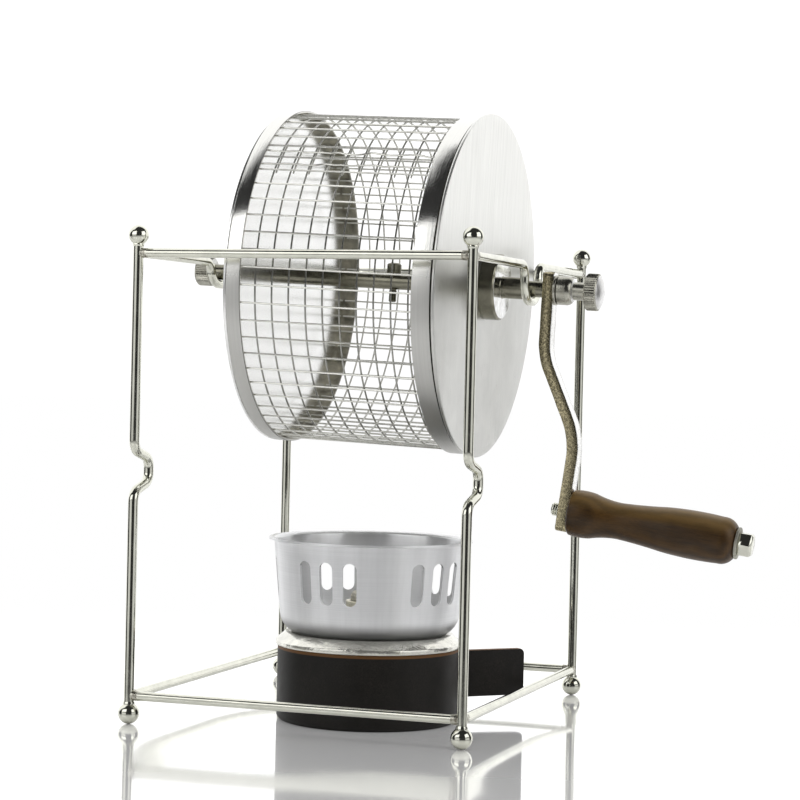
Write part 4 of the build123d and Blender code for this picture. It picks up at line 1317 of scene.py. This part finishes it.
class ROASTER_OT_crank_arm(bpy.types.Operator):
    """Bend the flat crank arm"""

    bl_idname = "roaster.crank_arm"
    bl_label = "Crank arm"

    TOLERANCE = 0.001 * MM
    CUT_PITCH = 2.0 * MM

    def execute(self, context):
        crank = context.scene.roaster_crank
        thick = crank.arm_thickness
        face = axle_span("crank_arm")[0]
        to_washer = axle_span("arm_washer")[0] - face
        bolt_place = GRIP_POINT - AXLE_POINT
        foot = Vector((bolt_place.dot(AXLE_WAY), bolt_place.dot(AXLE_UP)))
        knee = Vector((face + crank.arm_spread, -crank.arm_upper - crank.arm_slant))
        tail = foot + (foot - knee).normalized() * crank.arm_end
        top = span("crank_arm", AXLE_POINT, AXLE_UP)[1]
        line = [Vector((face, top)), Vector((face, -crank.arm_upper)), knee, tail]
        outer = self.offset(line, to_washer)
        inner = self.offset(line, to_washer - thick)
        bend = crank.arm_bend
        outline = [(*inner[0],), (*inner[1], bend), (*inner[2], bend), (*inner[3],), (*outer[3],),
                   (*outer[2], bend + thick), (*outer[1], bend - thick), (*outer[0],)]
        bm = bmesh.new()
        place = plane_at(AXLE_POINT + Y_WAY * crank.arm_width / 2, AXLE_WAY, AXLE_UP)
        plate(bm, outline, place, crank.arm_width, math.radians(3))
        corners = [edge for edge in bm.edges
                   if math.isclose(edge.calc_length(), thick, abs_tol=self.TOLERANCE)
                   and abs((edge.verts[0].co - edge.verts[1].co).y) < self.TOLERANCE]
        round_edges(bm, corners, crank.arm_corner, 5)
        soften(bm, 0.45 * MM, 2)
        self.work(bm, tail.y, top)
        # Painted highlight: the broad faces take a near-white copy of the arm's finish.
        broad = (passivated_arm("bright_arm", crank.highlit_broad_colour, contrast=0.1),
                 lambda face: abs(face.normal.dot(AXLE_WAY)) > 0.75)
        add_piece("hammered_crank_arm", bm, ["crank_arm"],
                  passivated_arm("passivated_arm", crank.arm_colour, contrast=0.5), second=broad)
        return {"FINISHED"}

    @staticmethod
    def offset(line, distance):
        """A line of points moved to its left by a distance, corner by corner."""
        ways = [(far - near).normalized() for near, far in zip(line, line[1:])]
        lefts = [Vector((-way.y, way.x)) for way in ways]
        moved = []
        for point, before, after in zip(line, lefts[:1] + lefts, lefts + lefts[-1:]):
            moved.append(point + (before + after) * distance / (1 + before.dot(after)))
        return moved

    @classmethod
    def work(cls, bm, tail, top):
        """Cuts the bar into short lengths and leaves its faces lightly hammered and its top rough."""
        for level in range(int((top - tail) / cls.CUT_PITCH)):
            height = top - 0.4 * MM - cls.CUT_PITCH * level
            bmesh.ops.bisect_plane(
                bm, geom=bm.verts[:] + bm.edges[:] + bm.faces[:], dist=cls.TOLERANCE,
                plane_co=AXLE_POINT + AXLE_UP * height, plane_no=AXLE_UP)
        roughen(bm.verts, 3.1 * MM, 0.09 * MM)
        ragged = [vert for vert in bm.verts if (vert.co - AXLE_POINT).dot(AXLE_UP) > top - 1.6 * MM]
        roughen(ragged, 0.8 * MM, 0.2 * MM)


class ROASTER_OT_crank_nuts(bpy.types.Operator):
    """Turn and knurl the thumb nut and the end knob, and lay the arm's washer"""

    bl_idname = "roaster.crank_nuts"
    bl_label = "Thumb nut, washer and end knob"

    TOOTH_ANGLE = math.radians(24)

    def execute(self, context):
        drum, crank = context.scene.roaster_drum, context.scene.roaster_crank
        steel = turned_steel("nut_steel", drum.nut_colour, AXLE_LINE, dullest=0.4)
        # Painted highlight: the end faces of the nut and knob take a near-white copy of the steel.
        highlit_dome = turned_steel("highlit_dome_steel", drum.highlit_face_colour, AXLE_LINE, dullest=0.6)
        ends = (highlit_dome, square_to_axle)
        bore = drum.stub_diameter / 2 + RUN_GAP
        stub_low, stub_high, _ = axle_span("axle")
        stub_low += crank.knob_shift
        steps = 2 * crank.knurl_teeth
        edge, lead, bevel = 0.3 * MM, 0.45 * MM, 0.5 * MM

        near, far, rim = axle_span("arm_washer")
        turned_piece(
            "plated_arm_washer", "arm_washer", steel,
            [(near, bore), (near, rim, 0.25 * MM), (far, rim, 0.25 * MM), (far, bore)],
            AXLE_LINE, WASHER_STEPS)

        near, far, rim = axle_span("thumb_nut")
        collar, neck = 5.3 * MM, 3.3 * MM
        collar_end, neck_start = near + 3.4 * MM, near + 6.0 * MM
        head_start, head_end = near + 10.7 * MM, far - 1.5 * MM
        bell = arc_points((collar_end, collar), (near + 5.2 * MM, 4.55 * MM), (neck_start, neck), 7)
        dome = arc_points((head_end, rim - 0.6 * MM), (head_end + 1.15 * MM, rim * 0.45), (far, 0), 8)
        seat = stub_high + 0.2 * MM
        bm = bmesh.new()
        turned(bm, [(seat, 0), (seat, bore), (near, bore), (near, collar - edge), (near + edge, collar)]
               + bell + [(head_start, neck), (head_start, rim - bevel), (head_start + lead, rim),
                         (head_end - lead, rim)] + dome, *AXLE_LINE, steps)
        knurl(bm, head_start + edge, head_end - edge, rim, crank.knurl_teeth, crank.knurl_depth)
        add_piece("knurled_thumb_nut", bm, ["thumb_nut"], steel, self.TOOTH_ANGLE,
                  second=ends)

        far, near, rim = axle_span("end_knob")
        far, near = far + crank.knob_shift, near + crank.knob_shift
        seat = max(stub_low - 0.2 * MM, far + 0.6 * MM)
        bm = bmesh.new()
        turned(bm, [(seat, 0), (seat, bore), (near, bore), (near, rim - bevel), (near - bevel, rim),
                    (far + bevel, rim), (far, rim - bevel), (far, 0)], *AXLE_LINE, steps)
        knurl(bm, far + edge, near - edge, rim, crank.knurl_teeth, crank.knurl_depth)
        add_piece("knurled_end_knob", bm, ["end_knob"], steel, self.TOOTH_ANGLE,
                  second=ends)
        return {"FINISHED"}


class ROASTER_OT_grip(bpy.types.Operator):
    """Turn the wooden grip"""

    bl_idname = "roaster.grip"
    bl_label = "Wooden grip"

    GRIP_STEPS = 72

    def execute(self, context):
        crank = context.scene.roaster_crank
        near, far, _ = grip_span("grip")
        bore = crank.bolt_diameter / 2 + RUN_GAP

        def point(along, diameter):
            return (near + along * MM, diameter / 2 * MM)

        rim, cove, waist = point(0.6, 16.7), point(8.3, 16.6), point(18.5, 13.3)
        swell, shoulder, end = point(35, 16.4), point(56, 17.0), (far, 5.6 * MM)
        outline = [(near, bore), (near, 7.7 * MM)] + arc_points(rim, point(4.5, 17.3), cove, 7)
        outline += arc_points(cove, point(13, 14.3), waist, 8)[1:]
        outline += arc_points(waist, point(27, 14.55), swell, 9)[1:]
        outline += arc_points(swell, point(48, 17.6), shoulder, 10)[1:]
        outline += arc_points(shoulder, point(59.8, 15.0), end, 8)[1:]
        outline += [(far, bore)]
        turned_piece("turned_wooden_grip", "grip", stained_wood(crank), outline, GRIP_LINE,
                     self.GRIP_STEPS)
        return {"FINISHED"}


class ROASTER_OT_grip_bolt(bpy.types.Operator):
    """Set the grip's bolt, with its hexagon and thread, and its washer"""

    bl_idname = "roaster.grip_bolt"
    bl_label = "Grip bolt and washer"

    HEXAGON = 6

    def execute(self, context):
        drum, crank = context.scene.roaster_drum, context.scene.roaster_crank
        plated = bpy.data.materials["plated_rod"]
        steel = turned_steel("dull_washer_steel", drum.nut_colour, GRIP_LINE, dullest=0.9)
        edge, step = 0.3 * MM, 0.2 * MM
        tail, top, corner = grip_span("grip_bolt")
        under = top - crank.bolt_head
        shank = crank.bolt_diameter / 2
        bm = bmesh.new()
        turned(bm, [(under, 0), (under, corner * 0.96), (under + edge, corner), (top - 0.7 * MM, corner),
                    (top, corner * 0.84), (top, 0)], *GRIP_LINE, self.HEXAGON, out=Y_WAY)
        soften(bm, 0.1 * MM, 1, math.radians(28))
        turned(bm, [(tail, 0), (tail, shank * 0.8)] + thread_outline(tail + edge, 0, shank, 0.8 * MM)
               + [(0.1 * MM, shank), (under + step, shank), (under + step, 0)], *GRIP_LINE, BOLT_STEPS)
        add_piece("hexagon_grip_bolt", bm, ["grip_bolt"], plated, math.radians(30))

        near, far, rim = grip_span("grip_washer")
        bore = shank + RUN_GAP
        turned_piece(
            "turned_grip_washer", "grip_washer", steel,
            [(near, bore), (near, rim, edge), (far, rim, edge), (far, bore)], GRIP_LINE, WASHER_STEPS)
        return {"FINISHED"}


# Operators: the burner

class ROASTER_OT_burner_base(bpy.types.Operator):
    """Turn the burner's base cup and set its flat handle"""

    bl_idname = "roaster.burner_base"
    bl_label = "Burner base"

    def execute(self, context):
        burner = context.scene.roaster_burner
        rim, height, wall = burner.base_diameter / 2, burner.base_height, burner.base_wall
        floor = 2.0 * MM
        bm = bmesh.new()
        heading = Vector((math.cos(burner.handle_angle), math.sin(burner.handle_angle), 0))
        place = plane_at(BURNER_POINT, heading, Z_WAY)
        place.translation -= place.to_3x3().col[2] * burner.handle_thickness / 2
        near, far = rim - wall / 2, burner.handle_reach
        below, above, corner = burner.handle_low, burner.handle_high, 2.0 * MM
        plate(bm, [(near, below), (far, below, corner), (far, above, corner), (near, above)],
              place, burner.handle_thickness, math.radians(15))
        soften(bm, 0.4 * MM, 2)
        turned(bm, [(0, 0), (0, rim, 2.0 * MM), (height, rim, 0.4 * MM), (height, rim - wall, 0.3 * MM),
                    (floor, rim - wall), (floor, 0)], *BURNER_LINE, BURNER_STEPS)
        add_piece("black_burner_base", bm, ["burner_base"], black_enamel(burner))
        return {"FINISHED"}


class ROASTER_OT_fuel_font(bpy.types.Operator):
    """Press the fuel font, and set the wick in its tube"""

    bl_idname = "roaster.fuel_font"
    bl_label = "Fuel font and wick"

    def execute(self, context):
        burner = context.scene.roaster_burner
        floor, top, bead = burner_span("fuel_font")
        tube_low, tube_top, flange = burner_span("wick_tube")
        wick_low, wick_top, wick = burner_span("wick")
        tube, wall, slack = wick + 1.8 * MM, 1.0 * MM, 0.2 * MM
        side = burner.base_diameter / 2 - burner.base_wall - slack
        seat, shoulder = burner.base_height, burner.shoulder_diameter / 2
        roll, edge, mouth = 0.8 * MM, 0.3 * MM, 0.4 * MM
        turned_piece(
            "pressed_fuel_font", "fuel_font", polished_font(burner),
            [(floor, 0), (floor, side), (seat, side), (seat, bead, roll),
             (seat + burner.bead_height, bead, roll), (top, shoulder, 0.6 * MM), (top, tube + slack),
             (top - wall, tube + slack), (top - wall, shoulder - wall), (seat, side - wall),
             (floor + wall, side - wall), (floor + wall, 0)], BURNER_LINE, BURNER_STEPS, closed=False)

        bore = wick + slack
        turned_piece(
            "turned_wick_tube", "wick_tube", brass_tube(burner),
            [(tube_low, bore), (tube_low, tube), (top, tube), (top, flange, 0.2 * MM),
             (top + wall, flange, edge), (top + wall, tube, edge), (tube_top, tube, mouth),
             (tube_top, bore, mouth)], BURNER_LINE, TUBE_STEPS)

        bm = bmesh.new()
        turned(bm, [(wick_low, 0), (wick_low, wick), (tube_top, wick), (wick_top, wick, 2.0 * MM),
                    (wick_top - 0.3 * MM, wick * 0.4), (wick_top - 0.5 * MM, 0)], *BURNER_LINE, TUBE_STEPS)
        roughen([vert for vert in bm.verts if vert.co.z > tube_top + 0.5 * MM], 1.1 * MM, 0.3 * MM)
        add_piece("woven_wick", bm, ["wick"], cotton_weave(burner))
        return {"FINISHED"}


class ROASTER_OT_windscreen(bpy.types.Operator):
    """Spin the windscreen's wall, cut its slots and flare its lip"""

    bl_idname = "roaster.windscreen"
    bl_label = "Windscreen"

    COLUMN = math.radians(1.5)
    PANEL_COLUMNS = 10
    PANEL_ROWS = 4
    GROUP_SLOTS = 3
    REAR_GROUP = 3            # seen through the front slots, some columns on from its even place
    REAR_COLUMNS = 4

    def execute(self, context):
        burner = context.scene.roaster_burner
        foot_z, lip_z, lip_r = burner_span("windscreen")
        foot_r, top_r = burner.screen_foot / 2, burner.screen_top / 2
        top_z = lip_z - burner.screen_lip_height
        margin = burner.slot_length / 2 + 1.7 * MM
        band_low, band_high = burner.slot_height - margin, burner.slot_height + margin

        def wall_r(z):
            return foot_r + (top_r - foot_r) * (z - foot_z) / (top_z - foot_z)

        bm = bmesh.new()
        mean_r = (foot_r + top_r) / 2
        panel = self.PANEL_COLUMNS * self.COLUMN
        group_turn = self.GROUP_SLOTS * panel
        sector = math.tau / burner.slot_groups
        start = burner.slot_start - group_turn / 2
        turns = [start + sector * group for group in range(burner.slot_groups)]
        turns[self.REAR_GROUP] += self.REAR_COLUMNS * self.COLUMN
        for turn, beyond in zip(turns, turns[1:] + [start + math.tau]):
            for place in range(self.GROUP_SLOTS):
                self.slotted_panel(bm, (turn + (place + 0.5) * panel) * mean_r, panel * mean_r,
                                   band_low, band_high, burner)
            self.plain_panel(bm, (turn + group_turn) * mean_r, (beyond - turn - group_turn) * mean_r,
                             band_low, band_high, self.COLUMN * mean_r)
        for vert in bm.verts:
            turn, z = vert.co.x / mean_r, vert.co.y
            spoke = Vector((math.cos(turn), math.sin(turn), 0))
            vert.co = BURNER_POINT + spoke * wall_r(z) + Z_WAY * z

        steps = round(math.tau / self.COLUMN)
        out = Vector((math.cos(start), math.sin(start), 0))
        turned(bm, [(foot_z, burner.screen_hole / 2), (foot_z, foot_r, burner.screen_foot_round),
                    (band_low, wall_r(band_low))], *BURNER_LINE, steps, out=out)
        turned(bm, [(band_high, wall_r(band_high)), (top_z, top_r, 1.2 * MM), (lip_z, lip_r)],
               *BURNER_LINE, steps, out=out)
        outside = spun_screen("spun_screen", burner, dullest=0.46, metallic=0.6)
        inside = spun_screen("spun_screen_inside", burner, dullest=0.26, metallic=0.45)
        add_piece("spun_windscreen", bm, ["windscreen"], outside,
                  wall=burner.screen_wall, second=(inside, self.faces_wick))
        return {"FINISHED"}

    @staticmethod
    def faces_wick(face):
        """Picks the faces of the wall's inside."""
        return face.normal.xy.dot(face.calc_center_median().xy - BURNER_POINT.xy) < 0

    @classmethod
    def slotted_panel(cls, bm, middle_x, wide, band_low, band_high, burner):
        """A piece of the wall round one slot, laid flat as (way round, height)."""
        half = burner.slot_width / 2
        reach = burner.slot_length / 2
        known = set(bm.verts)
        place = Matrix.Translation((middle_x, burner.slot_height, 0))
        lay_wire(bm, [(half, 0), (half, reach, half), (-half, reach, half), (-half, -reach, half),
                      (half, -reach, half), (half, 0)], place, math.pi / cls.PANEL_COLUMNS)
        bmesh.ops.remove_doubles(bm, verts=[vert for vert in bm.verts if vert not in known],
                                 dist=MERGE)
        straight = 2 * (reach - half)
        for edge in [edge for edge in bm.edges if edge.is_wire and edge.calc_length() > straight * 0.4]:
            cuts = round(cls.PANEL_ROWS * edge.calc_length() / straight) - 1
            bmesh.ops.subdivide_edges(bm, edges=[edge], cuts=cuts)
        left, right = middle_x - wide / 2, middle_x + wide / 2
        corners = [bm.verts.new((x, y, 0)) for x, y in
                   ((right, band_low), (right, band_high), (left, band_high), (left, band_low))]
        rim = [bm.edges.new((near, far)) for near, far in zip(corners, corners[1:] + corners[:1])]
        for edge, columns in zip(rim, (cls.PANEL_ROWS, cls.PANEL_COLUMNS) * 2):
            bmesh.ops.subdivide_edges(bm, edges=[edge], cuts=columns - 1)
        bmesh.ops.bridge_loops(bm, edges=[edge for edge in bm.edges if edge.is_wire])

    @classmethod
    def plain_panel(cls, bm, left, wide, band_low, band_high, column):
        """A piece of the wall between two groups of slots, laid flat as (way round, height)."""
        size = Matrix.Diagonal((wide / 2, (band_high - band_low) / 2, 1, 1))
        place = Matrix.Translation((left + wide / 2, (band_low + band_high) / 2, 0))
        bmesh.ops.create_grid(
            bm, x_segments=round(wide / column), y_segments=cls.PANEL_ROWS, size=1.0,
            matrix=place @ size)


class ROASTER_PT_panel(bpy.types.Panel):
    """Lists the roaster's operators in the order that they run"""

    bl_label = "Coffee roaster"
    bl_idname = "ROASTER_PT_panel"
    bl_space_type = "VIEW_3D"
    bl_region_type = "UI"
    bl_category = "Roaster"

    def draw(self, context):
        for operator in OPERATORS:
            self.layout.operator(operator.bl_idname)


SETTINGS = {
    "roaster_stand": StandSettings,
    "roaster_drum": DrumSettings,
    "roaster_crank": CrankSettings,
    "roaster_burner": BurnerSettings,
    "roaster_stage": StageSettings,
}
OPERATORS = (
    ROASTER_OT_stage,
    ROASTER_OT_posts,
    ROASTER_OT_bars,
    ROASTER_OT_rails,
    ROASTER_OT_balls,
    ROASTER_OT_welds,
    ROASTER_OT_mesh,
    ROASTER_OT_drum_ends,
    ROASTER_OT_axle,
    ROASTER_OT_crank_arm,
    ROASTER_OT_crank_nuts,
    ROASTER_OT_grip,
    ROASTER_OT_grip_bolt,
    ROASTER_OT_burner_base,
    ROASTER_OT_fuel_font,
    ROASTER_OT_windscreen,
)


def register():
    for settings in SETTINGS.values():
        bpy.utils.register_class(settings)
    for name, settings in SETTINGS.items():
        setattr(bpy.types.Scene, name, PointerProperty(type=settings))
    for operator in OPERATORS:
        bpy.utils.register_class(operator)
    bpy.utils.register_class(ROASTER_PT_panel)


def unregister():
    bpy.utils.unregister_class(ROASTER_PT_panel)
    for operator in reversed(OPERATORS):
        bpy.utils.unregister_class(operator)
    for name, settings in reversed(SETTINGS.items()):
        delattr(bpy.types.Scene, name)
        bpy.utils.unregister_class(settings)


def main():
    register()
    for operator in OPERATORS:
        group, name = operator.bl_idname.split(".")
        getattr(getattr(bpy.ops, group), name)()


if __name__ == "__main__":
    main()
